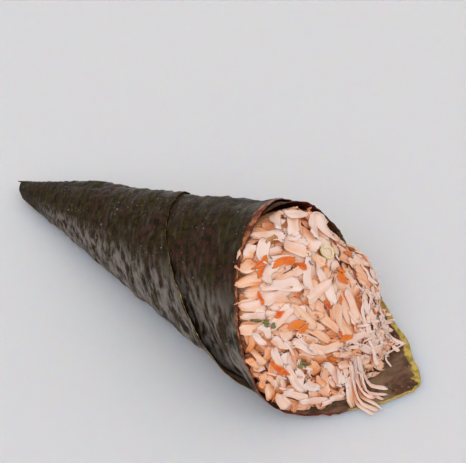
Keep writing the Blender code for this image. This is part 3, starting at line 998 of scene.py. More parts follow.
class Pile:
    """The heap's height over a plane, which grows as each shred is laid on it."""
    # How fine it is, how far down it is looked for, how far out its gap is bridged, and how its
    # gaps darken what lies in them, as painted shade
    CELL = 0.4 * MM
    DROP = 60 * MM
    BRIDGED_SHARE = 1.07
    SMOOTHING = 6
    CREVICE_START = -0.1 * MM
    CREVICE_DEPTH = 1.6 * MM

    def __init__(self, names, plane, low, high):
        self.plane = plane
        self.low = low
        self.columns = int((high[0] - low[0]) / self.CELL) + 1
        self.rows = int((high[1] - low[1]) / self.CELL) + 1
        self.height = np.full((self.rows, self.columns), -self.DROP)
        graph = bpy.context.evaluated_depsgraph_get()
        points, faces = [], []
        for name in names:
            if name not in bpy.data.objects:
                raise RuntimeError(f"make {name} before what lies on it")
            mesh = bpy.data.objects[name].evaluated_get(graph).to_mesh()
            first = len(points)
            points += [vertex.co.copy() for vertex in mesh.vertices]
            faces += [[first + corner for corner in face.vertices] for face in mesh.polygons]
        tree = BVHTree.FromPolygons(points, faces)
        down = Vector(-plane.normal)
        for row in range(self.rows):
            for column in range(self.columns):
                side, up = column * self.CELL + low[0], row * self.CELL + low[1]
                start = Vector(plane.point(side, up, 0.5 * self.DROP))
                hit, _, _, distance = tree.ray_cast(start, down, 1.5 * self.DROP)
                if hit is not None and plane.holds(side, up, hit):
                    self.height[row, column] = 0.5 * self.DROP - distance

    def cells(self, side, up):
        """The cells that these places fall in."""
        column = np.clip(np.rint((side - self.low[0]) / self.CELL), 0, self.columns - 1)
        row = np.clip(np.rint((up - self.low[1]) / self.CELL), 0, self.rows - 1)
        return row.astype(int), column.astype(int)

    def read(self, side, up):
        """The heights at these places."""
        return self.height[self.cells(side, up)]

    def bridge(self, depth):
        """Raises the gap beside the core to this far under the finished heap."""
        side = np.arange(self.columns) * self.CELL + self.low[0]
        up = np.arange(self.rows) * self.CELL + self.low[1]
        side, up = np.meshgrid(side, up)
        beside = (self.height > -0.5 * self.DROP) & (self.plane.share(side, up)
                                                       < self.BRIDGED_SHARE)
        floor = self.plane.top(side, up) - depth
        self.height = np.where(beside, np.maximum(self.height, floor), self.height)

    def lay(self, side, up, height):
        """Raises the heap to these heights."""
        np.maximum.at(self.height, self.cells(side, up), height)

    def crevice(self, points):
        """How deep these points lie in the gaps of the heap, from 0 to 1."""
        known = self.height > -0.5 * self.DROP
        total, weight = np.where(known, self.height, 0.0), known.astype(float)
        for axis in (0, 1):
            for _ in range(self.SMOOTHING):
                total = total + np.roll(total, 1, axis) + np.roll(total, -1, axis)
                weight = weight + np.roll(weight, 1, axis) + np.roll(weight, -1, axis)
        smooth = total / np.maximum(weight, 1e-9)
        from_centre = points - self.plane.centre
        cells = self.cells(from_centre @ self.plane.side, from_centre @ self.plane.up)
        under = smooth[cells] - from_centre @ self.plane.normal
        return np.clip((under + self.CREVICE_START) / self.CREVICE_DEPTH, 0.0, 1.0)


def measured(side, up, heading, length, width):
    """A place and a size given in mm and degrees, in metres and radians."""
    return side * MM, up * MM, math.radians(heading), length * MM, width * MM


# What the toppings and the spilt shreds lie on
HEAPED = ("nori_wrap", "crab_shreds_deep", "crab_shreds_top")
TOPPING_THICKNESS = 0.5 * MM


def mouth_pile(*names):
    """The height over the mouth of the heap made so far, from the pieces it consists of."""
    return Pile(names, MOUTH, (-36 * MM, -46 * MM), (36 * MM, 38 * MM))


# How much darker a shred is painted at the bottom of a gap, as painted shade, and how fine its
# mesh is
PAINTED_CREVICE_SHADE = 0.8
SHRED_SIDES = 16
SHRED_STEP = 1.1 * MM
MIN_STEPS = 8

# A shred's shape: how it waves, how wide its ends are, how its edges bend down and how uneven its
# ridges are, each for its width or its length
WAVE = 0.20
WAVE_LENGTH = 10 * MM
END_WIDTH = 0.60
END_SPREAD = 0.4
EDGE_BEND = (-0.24, 0.0)
RIDGE_SPREAD = 0.35
SWELLING_SPREAD = 0.15
TWIST_SPREAD = 0.45
MAX_TILT = 0.8
MAX_SLANT = 0.7
TEETH_SHARE = 1.0 / 8.0
TABLE_CLEARANCE = 0.2 * MM
# How uneven its tone is along it, and from fibre to fibre
TONE_SPREAD = (0.05, 0.10)

# How the heap's shreds are laid: how often a place is tried for each, how far out over the mouth,
# how far under the finished heap they bridge the gap beside the core, as a share of the core's
# depth, how far they may stand over it, and how short they may be torn to fit
TRIES_PER_SHRED = 12
MIN_SHREDS = 50
LAID_SHARE = 1.03
BRIDGE_DEPTH = 1.8
HEADROOM = 1.6 * MM
TORN_SHARES = (1.0, 0.6, 0.4)
# How the shreds of a heap differ from each other, and how those from one stick lie side by side
HEADING_SPREAD = 0.42
WIDTH_SPREAD = 0.30
WIDTH_RISE = 10.0
LENGTH_SPREAD = 0.22
BESIDE = 0.85
AHEAD_SPREAD = 1.5 * MM
LIFTED_SHARE = 0.35
# How high their ends stand up, as a gamma distribution's shape and scale
END_LIFT = (1.2, 0.5 * MM)
SPILT_END_LIFT = (1.2, 0.4 * MM)


class ShredBatch:
    """Shreds of one kind, gathered into one mesh."""

    def __init__(self, seed):
        self.draws = np.random.default_rng(seed)
        self.points = []
        self.faces = []
        self.tone = []
        self.place = []
        self.count = 0

    def add(self, rings, tone, place):
        """Adds a closed tube through these rings of points."""
        steps, sides = rings.shape[:2]
        self.faces += [[corner + self.count for corner in face]
                       for face in grid_faces(steps, sides, closed=True)]
        ends = np.stack([rings[0].mean(axis=0), rings[-1].mean(axis=0)])
        first, last = self.count + steps * sides, self.count + steps * sides + 1
        top = self.count + (steps - 1) * sides
        for corner in range(sides):
            following = (corner + 1) % sides
            self.faces.append([self.count + following, self.count + corner, first])
            self.faces.append([top + corner, top + following, last])
        self.points.append(np.concatenate([rings.reshape(-1, 3), ends]))
        self.tone.append(np.concatenate([tone.ravel(), tone[0, :1], tone[-1, :1]]))
        self.place.append(np.concatenate([place.reshape(-1, 3), place[0, :1], place[-1, :1]]))
        self.count += steps * sides + 2

    def finish(self, name, material, pile):
        """Makes the piece, which belongs to the salad and is painted darker deep in the pile, as
        shade.
        """
        if not self.points:
            raise RuntimeError(f"nothing of {name} found a place to lie on")
        points = np.concatenate(self.points)
        tone = np.concatenate(self.tone) - PAINTED_CREVICE_SHADE * pile.crevice(points)
        piece = new_piece(name, points, self.faces, [material],
                          {"tone": np.clip(tone, 0.0, 1.0)},
                          {"shred_place": np.concatenate(self.place)})
        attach(piece, "root")
        return piece


def shred_path(draws, along, side, up, heading, length, bend):
    """A wavy path centred on a place: its points, and the way it heads at each."""
    wave = WAVE * draws.normal() * min(1.0, length / WAVE_LENGTH)
    turning = heading + bend * along + wave * np.sin(2 * math.pi * (along + draws.random()))
    step = length / (len(along) - 1)
    path_side = np.concatenate([[0.0], np.cumsum(np.cos(turning[1:]) * step)])
    path_up = np.concatenate([[0.0], np.cumsum(np.sin(turning[1:]) * step)])
    return path_side + (side - path_side.mean()), path_up + (up - path_up.mean()), turning


def rest_on(pile, path_side, path_up, turning, width, step, spill):
    """The pile's height along a path and its tilt across it, or None where too much would hang."""
    reads = np.stack([pile.read(path_side - np.sin(turning) * width * shift,
                                path_up + np.cos(turning) * width * shift)
                      for shift in (-0.4, 0.0, 0.4)])
    ordered = np.sort(reads, axis=0)
    known = ordered[1] > -0.5 * pile.DROP
    if (~known).sum() * step > spill:
        return None
    under = fill_ends(np.where(known, ordered[1:].mean(axis=0), np.nan), step)
    tilt = np.arctan2(fill_ends(np.where(known, reads[2] - reads[0], np.nan), 0.0), 0.8 * width)
    return under, np.clip(even_out(tilt, 4), -MAX_TILT, MAX_TILT)


def strip_section(draws, along, width, thickness, ragged, pointed):
    """A flat strip's rings, as places across it and above it, ridged lengthwise by its fibres.

    Gives with them how wide each ring is, and how far round its places lie.
    """
    steps = len(along)
    taper = np.clip(1.0 - np.abs(2.0 * along) ** draws.uniform(8.0, 24.0), 0.0, 1.0) ** 0.5
    taper = END_WIDTH + (1.0 - END_WIDTH) * taper
    taper = taper * (1.0 + END_SPREAD * draws.normal() * along)
    taper = taper * (1.0 - pointed * (2.0 * along) ** 2)
    left = taper * (1.0 + ragged * even_out(draws.normal(size=steps), 2))
    right = taper * (1.0 + ragged * even_out(draws.normal(size=steps), 2))
    angle = 2.0 * math.pi * np.arange(SHRED_SIDES) / SHRED_SIDES
    cosine, sine = np.cos(angle), np.sin(angle)
    flat = np.sign(cosine) * np.abs(cosine) ** 0.9
    flat = np.clip(flat + 0.06 * draws.normal(size=SHRED_SIDES) * np.abs(sine), -1.0, 1.0)
    ridges = np.clip(1.0 + RIDGE_SPREAD * draws.normal(size=SHRED_SIDES), 0.4, 1.7)
    wide = np.where(flat[None, :] > 0.0, left[:, None], right[:, None]) * flat * 0.5 * width
    swelling = 1.0 + SWELLING_SPREAD * even_out(draws.normal(size=steps), 1)
    swelling = (0.2 + 0.8 * taper) * swelling
    swelling = swelling * (1.0 - 0.6 * np.abs(2.0 * along) ** 8)
    high = swelling[:, None] * np.sign(sine) * np.abs(sine) ** 0.9 * ridges * 0.5 * thickness
    high = high + draws.uniform(*EDGE_BEND) * wide ** 2 / width
    return wide, high, taper, flat, sine


def lay_shred(pile, batch, side, up, heading, length, width, thickness, tone, lift=(0.0, 0.0),
              bend=0.0, ragged=0.10, roll=0.0, sink=1.0, spill=1.0 * MM, fray=1.8 * MM, fade=0.0,
              pointed=0.0, headroom=None):
    """Lays one shred on the heap, centred on a place on its plane, and adds it to a batch.

    Lift is how far each end stands up, bend how far it turns along its length, and roll how far
    it lies on its edge. Spill is how much of it may reach past what it lies on, fray how uneven
    its torn ends are, fade how far its tone falls off towards its outline, and pointed how much
    it narrows towards its ends. Headroom is how far it may stand over the heap's outside.
    """
    draws = batch.draws
    steps = max(MIN_STEPS, int(length / SHRED_STEP))
    along = np.linspace(-0.5, 0.5, steps)
    path_side, path_up, turning = shred_path(draws, along, side, up, heading, length, bend)
    rest = rest_on(pile, path_side, path_up, turning, width, length / (steps - 1), spill)
    if rest is None:
        return False
    under, tilt = rest
    height = np.maximum(even_out(under, 2), under - sink * thickness)
    if headroom is not None:
        over = height - pile.plane.top(path_side, path_up)
        if over.mean() > 0.4 * headroom or over.max() > headroom:
            return False
    height = height + 0.15 * thickness + 0.3 * width * abs(math.sin(roll))
    height += (lift[0] * np.clip(-2.0 * along, 0.0, 1.0) ** 2
               + lift[1] * np.clip(2.0 * along, 0.0, 1.0) ** 2)
    height += 0.4 * thickness * even_out(draws.normal(size=steps), 2)
    wide, high, taper, flat, sine = strip_section(draws, along, width, thickness, ragged, pointed)
    twisting = (tilt + roll + TWIST_SPREAD * draws.normal() * along)[:, None]

    # The ends are torn: slanted, and with some fibres longer than others
    end = np.abs(2.0 * along)[:, None] ** 3 * np.sign(along)[:, None]
    teeth = draws.uniform(0.0, 1.0, size=SHRED_SIDES)
    teeth = np.where(sine < 0.0, np.roll(teeth[::-1], 1), teeth)
    slant = min(MAX_SLANT, length / (12.0 * width))
    ahead = (-end * (teeth[None, :] * min(fray, length * TEETH_SHARE))
             + np.abs(end) * np.clip(0.6 * draws.normal(), -slant, slant) * wide)

    # Each ring is turned across the path, and kept inside the wall and off the table
    beside_side, beside_up = -np.sin(turning)[:, None], np.cos(turning)[:, None]
    lean_side = wide * np.cos(twisting) - high * np.sin(twisting)
    ring_side = path_side[:, None] + beside_side * lean_side + beside_up * ahead
    ring_up = path_up[:, None] + beside_up * lean_side - beside_side * ahead
    ring_high = height[:, None] + (wide * np.sin(twisting) + high * np.cos(twisting))
    ring_side, ring_up = pile.plane.kept_in(ring_side, ring_up, ring_high)
    rings = pile.plane.point(ring_side, ring_up, 0.0) + ring_high[..., None] * pile.plane.normal
    lowest = TABLE_Z + TABLE_CLEARANCE + np.clip(high + 0.5 * thickness, 0.0, thickness)
    rings[..., 2] = np.maximum(rings[..., 2], lowest)

    fibre_tone = TONE_SPREAD[1] * draws.normal(size=(1, SHRED_SIDES))
    tones = tone + TONE_SPREAD[0] * draws.normal(size=(steps, 1)) + fibre_tone
    tones = np.clip(tones, 0.0, 1.0)
    tones = tones * (1.0 - fade * (2.0 * along[:, None]) ** 2) * (1.0 - fade * flat ** 2)
    places = np.stack([wide + 31.0 * MM * batch.count, np.broadcast_to(
        (along * length)[:, None], wide.shape), high], axis=-1)
    batch.add(rings, tones, places)

    # The shred now is part of the heap, for the next ones to lie on
    spots = np.arange(steps)
    fine = np.linspace(0, steps - 1, steps * 4)
    for shift in np.linspace(-0.42, 0.42, max(3, int(width / pile.CELL) + 2)):
        across = width * shift * taper
        pile.lay(np.interp(fine, spots, path_side + beside_side[:, 0] * across),
                 np.interp(fine, spots, path_up + beside_up[:, 0] * across),
                 np.interp(fine, spots, height + 0.35 * thickness
                           + across * np.sin(twisting[:, 0])))
    return True


def even_out(values, passes):
    """The values with their bends eased."""
    for _ in range(passes):
        padded = np.concatenate([values[:1], values, values[-1:]])
        values = 0.25 * padded[:-2] + 0.5 * padded[1:-1] + 0.25 * padded[2:]
    return values


def fill_ends(values, fall):
    """Carries known values on into places that have none, falling a little with each step."""
    known = np.flatnonzero(~np.isnan(values))
    filled = values.copy()
    for place in np.flatnonzero(np.isnan(values)):
        nearest = known[np.argmin(np.abs(known - place))]
        filled[place] = values[nearest] - 0.5 * fall * (abs(nearest - place) ** 1.3)
    return filled


# How the shreds lie in each part of the heap: (sideways mm, upward mm, heading in degrees, tone
# from deep orange 0 to pale 1), and how far each row counts
LAY_SPREAD = 6 * MM
LAY = ((-9, 19, -10, 1.0), (-12, 14, -25, 0.95), (-15, 6, -20, 0.95), (0, 22, -20, 1.0),
       (6, 25, 20, 1.0), (13, 17, 80, 0.8), (0, 19, -60, 0.9), (-3, 10, 60, 0.9),
       (-1, 6, 70, 0.8), (-11, 3, -73, 0.6), (21, 2, -50, 1.0), (19, -6, -60, 0.95),
       (5, -5, 80, 0.45), (11, -10, -76, 0.55), (16, -20, -30, 1.0), (-18, -1, -43, 0.9),
       (-23, -4, -87, 0.65), (-14, -5, -43, 0.4), (-9, -9, -31, 0.35), (4, -15, -26, 0.55),
       (-21, -12, -80, 0.75), (-17, -15, -66, 0.65), (-10, -17, -63, 0.45), (-8, -24, -68, 0.8),
       (6, -22, -40, 0.75), (-24, -17, -79, 0.7))

# Shreds laid on top where they catch the eye: (sideways mm, upward mm, heading in degrees,
# length mm, width mm, tone from deep 0 to pale 1)
TOP_SHREDS = (
    (-9, 19, -12, 12, 3.4, 1.0), (-12, 14, -26, 12, 3.4, 1.0), (-14, 12, -12, 10, 3.0, 0.9),
    (-15, 6, -25, 13, 4.0, 0.95), (-17, 7, 14, 10, 3.2, 0.8), (0, 22, -22, 9, 4.2, 1.0),
    (5, 23, 24, 9, 3.6, 1.0), (11, 18, -10, 12, 4.6, 1.0), (13, 16, 82, 9, 4.0, 0.95),
    (-1, 19, -60, 8, 3.8, 0.8), (-3, 10, 58, 13, 3.0, 1.0), (0, 6, 68, 13, 3.2, 1.0),
    (-3, 6, -8, 12, 3.0, 0.7), (-11, 3, -73, 12, 2.8, 0.6), (18, -1, -43, 14, 2.6, 0.7),
    (17, -4, -62, 13, 2.4, 0.6), (5, -5, 80, 12, 2.6, 0.75), (11, -10, -76, 13, 2.6, 0.9),
    (-1, -6, 78, 12, 2.4, 0.7), (15, -19, -29, 15, 2.4, 1.0), (-18, -1, -43, 11, 2.4, 0.85),
    (-22, -4, -87, 11, 2.2, 0.9), (-14, -5, -43, 12, 2.6, 0.9), (-9, -9, -31, 14, 2.6, 0.8),
    (4, -15, -26, 18, 2.2, 0.85), (-20, -12, -80, 13, 2.2, 0.9), (-17, -15, -66, 13, 2.6, 1.0),
    (-10, -17, -63, 14, 2.3, 0.9), (-7, -22, -68, 13, 2.2, 0.9), (6, -21, -40, 16, 2.2, 0.9),
    (-24, 5, -76, 5, 2.1, 1.0), (-22, 6, -79, 5, 2.1, 1.0), (7, -17, -100, 22, 1.6, 1.0),
    (-4, 25, -20, 8, 3.6, 1.0), (-9, 23, 35, 8, 3.4, 1.0), (2, 26, 10, 8, 3.6, 0.95),
    (8, 24, -30, 8, 3.4, 1.0), (-12, 18, 12, 8, 3.2, 0.95), (20, -1, -55, 11, 3.2, 0.95),
    (21, -6, -62, 12, 3.2, 0.95), (22, -12, -75, 10, 2.8, 1.0), (-21, -17, -50, 9, 2.6, 0.85),
    (-17, -22, -35, 10, 2.6, 0.9), (-11, -26, -20, 9, 2.4, 0.9))

# Shreds spilt on the tongue: (x mm, y mm, heading in degrees, length mm, width mm)
SPILT = ((63, -4.5, -12, 12, 1.4), (63, -3.5, -3, 12, 1.3), (64, -2, 5, 12, 1.3),
         (63, -0.5, 13, 12, 1.5), (63, 1, 21, 11, 1.2), (62, 3, 30, 10, 1.3), (62, -2, 18, 9, 1.0),
         (62, 0, -8, 9, 1.0), (56, -12, 5, 11, 1.5), (59, -9, -32, 12, 1.5),
         (57, -5, -18, 12, 1.8))


def lay_of(side, up):
    """Which way the shreds here point, and their tone."""
    anchors = np.array(LAY, float)
    distance = np.hypot(anchors[:, 0] * MM - side, anchors[:, 1] * MM - up)
    weight = np.exp(-(distance / LAY_SPREAD) ** 2) + 1e-6
    doubled = 2.0 * np.radians(anchors[:, 2])
    heading = 0.5 * math.atan2((weight * np.sin(doubled)).sum(),
                               (weight * np.cos(doubled)).sum())
    return heading, (weight * anchors[:, 3]).sum() / weight.sum()


def random_place(draws, share):
    """A random place within this share of the mouth."""
    bearing = draws.uniform(0.0, 2.0 * math.pi)
    out = share * math.sqrt(draws.random()) * float(MOUTH.read(MOUTH.radii, bearing))
    return out * math.cos(bearing), out * math.sin(bearing)


class TEMAKI_OT_crab_shreds(bpy.types.Operator):
    """Heap the loose shreds of crab stick on the core"""
    bl_idname = "temaki.crab_shreds"
    bl_label = "Crab shreds"
    bl_options = {"REGISTER", "UNDO"}

    def execute(self, context):
        settings = context.scene.temaki_salad
        pile = mouth_pile("nori_wrap", "salad_core")
        pile.bridge(BRIDGE_DEPTH * settings.sunk)
        deep, top = ShredBatch(5), ShredBatch(6)
        draws = np.random.default_rng(4)
        laid = 0
        for _ in range(TRIES_PER_SHRED * settings.shreds):
            side, up = random_place(draws, LAID_SHARE)
            left = float(MOUTH.top(side, up) - pile.read(side, up))
            if left < 0.5 * settings.thickness:
                continue
            laid += self.lay_clump(pile, deep, top, draws, side, up,
                                   np.clip(1.0 - left / settings.sunk, 0.0, 1.0), settings)
            if laid >= settings.shreds:
                break
        if laid < MIN_SHREDS:
            raise RuntimeError("the shreds found no heap to lie on")
        for *place, tone in TOP_SHREDS:
            lay_shred(pile, top, *measured(*place), settings.thickness, tone,
                      tuple(draws.gamma(*END_LIFT, size=2)), bend=0.4 * draws.normal(),
                      roll=0.12 * draws.normal(), spill=4 * MM)
        colours = (linear("#fa9642"), tuple(settings.peach), tuple(settings.pale),
                   *shades("#fbb084", "#fdece4"))
        deep.finish("crab_shreds_deep", shred_material(
            "Crab stick, shredded, deep in its dressing", colours, 0.34), pile)
        pale = shred_material("Crab stick, shredded", colours, 0.38)
        top.finish("crab_shreds_top", pale, pile)

        tongue = Pile(HEAPED, TABLE, (40 * MM, -24 * MM), (76 * MM, 24 * MM))
        spilt = ShredBatch(7)
        for place in SPILT:
            lay_shred(tongue, spilt, *measured(*place), settings.thickness, 0.95,
                      tuple(draws.gamma(*SPILT_END_LIFT, size=2)), bend=0.3 * draws.normal(),
                      spill=7 * MM)
        spilt.finish("crab_shreds_spilt", pale, tongue)
        return {"FINISHED"}

    def lay_clump(self, pile, deep, top, draws, side, up, stage, settings):
        """Lays a few shreds torn from one stick side by side, and counts them.

        Stage is how full the heap is here, from 0 at the core to 1 when it is finished.
        """
        heading, zone_tone = lay_of(side, up)
        heading += HEADING_SPREAD * draws.normal()
        width = settings.width * draws.lognormal(0.0, WIDTH_SPREAD) * (1.0 + WIDTH_RISE * up)
        bend = 0.45 * draws.normal()
        # Shreds laid lower in the heap are painted darker and more orange, as painted shade deep in
        # it
        clump_tone = zone_tone - 0.4 * (1.0 - stage) + 0.20 * draws.normal()
        count = draws.integers(1, 4)
        laid = 0
        for member in range(count):
            across = BESIDE * width * (member - 0.5 * (count - 1))
            ahead = AHEAD_SPREAD * draws.normal()
            lift = draws.gamma(*END_LIFT, size=2) * (draws.random(2) < LIFTED_SHARE)
            place = (side - across * math.sin(heading) + ahead * math.cos(heading),
                     up + across * math.cos(heading) + ahead * math.sin(heading),
                     heading + 0.12 * draws.normal())
            length = settings.length * draws.lognormal(-0.05, LENGTH_SPREAD)
            tone = float(np.clip(clump_tone + 0.08 * draws.normal(), 0.0, 1.0))
            # One that does not fit is torn shorter
            for part in TORN_SHARES:
                if lay_shred(pile, deep if stage < 0.5 else top, *place, length * part,
                             width * part ** 0.3, settings.thickness * draws.lognormal(0.0, 0.2),
                             tone, tuple(lift * part), bend=bend, roll=0.15 * draws.normal(),
                             headroom=HEADROOM):
                    laid += 1
                    break
        return laid


# Bits of the sticks' painted skin: (sideways mm, upward mm, heading in degrees, length mm,
# width mm, tone from orange 0 to red 1)
SKIN_BITS = (
    (-7, 18, -12, 7.5, 2.4, 0.55), (-5.5, 17.5, -8, 4.0, 2.0, 0.2), (-3, 14, -60, 3.6, 1.8, 0.9),
    (-12, 21.5, 8, 6.0, 2.0, 0.4), (-14, 19.5, 30, 3.5, 1.6, 0.2), (7, 3, -78, 5.5, 3.2, 0.25),
    (8, 5, -60, 3.0, 1.6, 0.6), (-14, 2, -12, 6.0, 2.8, 0.0), (-13, 0, 20, 4.5, 2.0, 0.1),
    (-23, -6, -78, 6.5, 1.8, 0.9), (-22, -8, -60, 4.0, 1.4, 0.7), (-3, 1, -86, 3.4, 1.4, 1.0),
    (-3, -8, -85, 3.6, 1.4, 0.9), (23, -20, -80, 4.0, 1.3, 0.8), (-2, -11, -18, 6.0, 1.6, 0.3),
    (-17, 8, 6, 3.4, 1.4, 0.7), (-18, 14, 58, 4.0, 1.3, 0.5), (2, -1, 40, 3.0, 1.4, 0.5),
    (13, -13, -70, 3.5, 1.3, 0.6), (-8, -14, -50, 3.5, 1.2, 0.4), (18, 4, -40, 3.0, 1.4, 0.3))


class TEMAKI_OT_skin_bits(bpy.types.Operator):
    """Scatter the bits of orange-red skin over the heap"""
    bl_idname = "temaki.skin_bits"
    bl_label = "Bits of painted skin"
    bl_options = {"REGISTER", "UNDO"}

    def execute(self, context):
        settings = context.scene.temaki_salad
        pile = mouth_pile(*HEAPED)
        batch = ShredBatch(8)
        for *place, tone in SKIN_BITS:
            lay_shred(pile, batch, *measured(*place), TOPPING_THICKNESS, 0.6 + 0.4 * tone,
                      ragged=0.35, sink=-0.3, spill=3 * MM, fade=0.5, pointed=0.75)
        colours = (*shades("#f2a878", "#f4841c"), tuple(settings.skin),
                   *shades("#e65a18", "#f27c40"))
        batch.finish("skin_bits", shred_material("Crab stick, painted skin", colours, 0.32), pile)
        return {"FINISHED"}


# Herb flecks: (sideways mm, upward mm, heading in degrees, length mm, width mm)
HERBS = ((-21, 8, 30, 2.4, 1.6), (-20, 6.5, 80, 1.8, 1.2), (-17, -9, 70, 2.4, 1.7),
         (-16, -10, 10, 1.8, 1.1), (2, -25, 60, 2.0, 1.3), (-22, 9.5, -40, 1.6, 0.9))

# The onion ring and the bit of crust: (sideways, upward, heading, length, width, thickness)
ONION = (7 * MM, 12 * MM, 0.0, 12.5 * MM, 1.0 * MM, 0.8 * MM)
CRUST = (-5 * MM, 24 * MM, 0.5, 3.5 * MM, 2.4 * MM, TOPPING_THICKNESS)


class TEMAKI_OT_garnish(bpy.types.Operator):
    """Lay the flecks of herb, the onion ring and the bit of crust on the heap"""
    bl_idname = "temaki.garnish"
    bl_label = "Herbs and onion"
    bl_options = {"REGISTER", "UNDO"}

    def execute(self, context):
        pile = mouth_pile(*HEAPED)
        herbs, onion, crust = ShredBatch(12), ShredBatch(13), ShredBatch(14)
        for place in HERBS:
            lay_shred(pile, herbs, *measured(*place), TOPPING_THICKNESS, 0.8, ragged=0.3,
                      sink=-0.8, spill=3 * MM, fray=0.4 * MM)
        # The ring is cut across, so it lies as a nearly closed loop
        lay_shred(pile, onion, *ONION, tone=0.6, bend=1.8 * math.pi, sink=0.2, fray=0.3 * MM)
        lay_shred(pile, crust, *CRUST, tone=0.5, sink=-0.3, spill=3 * MM, ragged=0.35,
                  pointed=0.5)
        # Chopped leaf is a dull waxy olive, raw onion pale and glassy, fried batter brown and matt
        herbs.finish("herb_flecks", shred_material(
            "Herb leaf, chopped",
            shades("#4a4a20", "#66662e", "#8c8850", "#585628", "#9a9662"), 0.45), pile)
        onion.finish("onion_ring", shred_material(
            "Onion, sliced raw",
            shades("#d9b878", "#f0d9a0", "#f8ecc8", "#ecd090", "#fbf4dc"), 0.25), pile)
        crust.finish("crust_bit", shred_material(
            "Batter, fried",
            shades("#a05f34", "#c4864e", "#d8a26c", "#b06c3c", "#dcb080"), 0.5), pile)
        return {"FINISHED"}


# Where the loose fibres lie thickest, how far they spread round it and over the mouth, and how
# long, wide and thick they are
FLUFF_PLACE = np.array((16 * MM, -21 * MM))
FLUFF_SPREAD = 4.5 * MM
FIBRES_SHARE = 0.98
FIBRE_LENGTHS = (4 * MM, 10 * MM)
FIBRE_WIDTHS = (0.5 * MM, 1.3 * MM)
FIBRE_THICKNESS = 0.35 * MM


class TEMAKI_OT_fibres(bpy.types.Operator):
    """Lay the fine fibres that have come loose from the shreds"""
    bl_idname = "temaki.fibres"
    bl_label = "Loose fibres"
    bl_options = {"REGISTER", "UNDO"}

    def execute(self, context):
        settings = context.scene.temaki_salad
        pile = mouth_pile(*HEAPED)
        batch = ShredBatch(9)
        draws = np.random.default_rng(10)
        for count in range(settings.fibres):
            side, up = random_place(draws, FIBRES_SHARE)
            up = -abs(up)
            if count % 2:
                side, up = FLUFF_PLACE + FLUFF_SPREAD * draws.normal(size=2)
            heading, tone = lay_of(side, up)
            lay_shred(pile, batch, side, up, heading + 0.5 * draws.normal(),
                      draws.uniform(*FIBRE_LENGTHS), draws.uniform(*FIBRE_WIDTHS),
                      FIBRE_THICKNESS, tone + 0.3, tuple(draws.gamma(1.5, 0.2 * MM, size=2)),
                      bend=0.4 * draws.normal(), sink=0.9)
        colours = (linear("#f0a77c"), tuple(settings.peach), tuple(settings.pale),
                   *shades("#f4bb9a", "#fde6da"))
        batch.finish("crab_fibres", shred_material("Crab stick, loose fibres", colours, 0.35),
                     pile)
        return {"FINISHED"}


# ------------------------------------------------------------------------------------------
# The floor, the lights and the camera
# ------------------------------------------------------------------------------------------

class StageSettings(bpy.types.PropertyGroup):
    """The floor, lights and camera."""
    floor: colour_setting("Floor", "The pale floor", "#e0e0e3")
    key_power: FloatProperty(
        name="Key light", description="Power of the main soft light", default=9.9, min=0.0,
        max=500.0)
    window_power: FloatProperty(
        name="Window light", description="Power of the low soft light from the near side",
        default=18.0, min=0.0, max=500.0)
    ambient: FloatProperty(
        name="Surrounding light", description="Strength of the even light all round",
        default=0.70, min=0.0, max=5.0)


# Where the camera looks, and from where
VIEW_TARGET = Vector((4.25, 12.9, 20.0)) * MM
VIEW_AZIMUTH = math.radians(37.74)
VIEW_ELEVATION = math.radians(45.0)
VIEW_DISTANCE = 400 * MM
VIEW_LENS = 102.96
# A large soft light high on the mouth's side, a lower one from the near side, slightly blue as
# from a window, and warm light all round. Distances and sizes are in metres
KEY_DIRECTION = Vector((0.60, 0.10, 0.80))
KEY_DISTANCE = 3.0
KEY_SIZE = 1.8
WINDOW_DIRECTION = Vector((0.25, -0.62, 0.74))
WINDOW_DISTANCE = 2.5
WINDOW_SIZE = 1.8
WINDOW_COLOUR = (0.90, 1.0, 1.13)
AMBIENT_COLOUR = (1.0, 0.97, 0.92)
# The floor, which ends far outside the view: half its side in metres, how deep light sinks into
# it, how far it lies under the roll, and how much darker its mottle is
FLOOR_HALF = 2.0
FLOOR_THICKNESS = 30 * MM
FLOOR_SCATTER = 20 * MM
FLOOR_GAP = 0.05 * MM
FLOOR_MOTTLE = 0.985


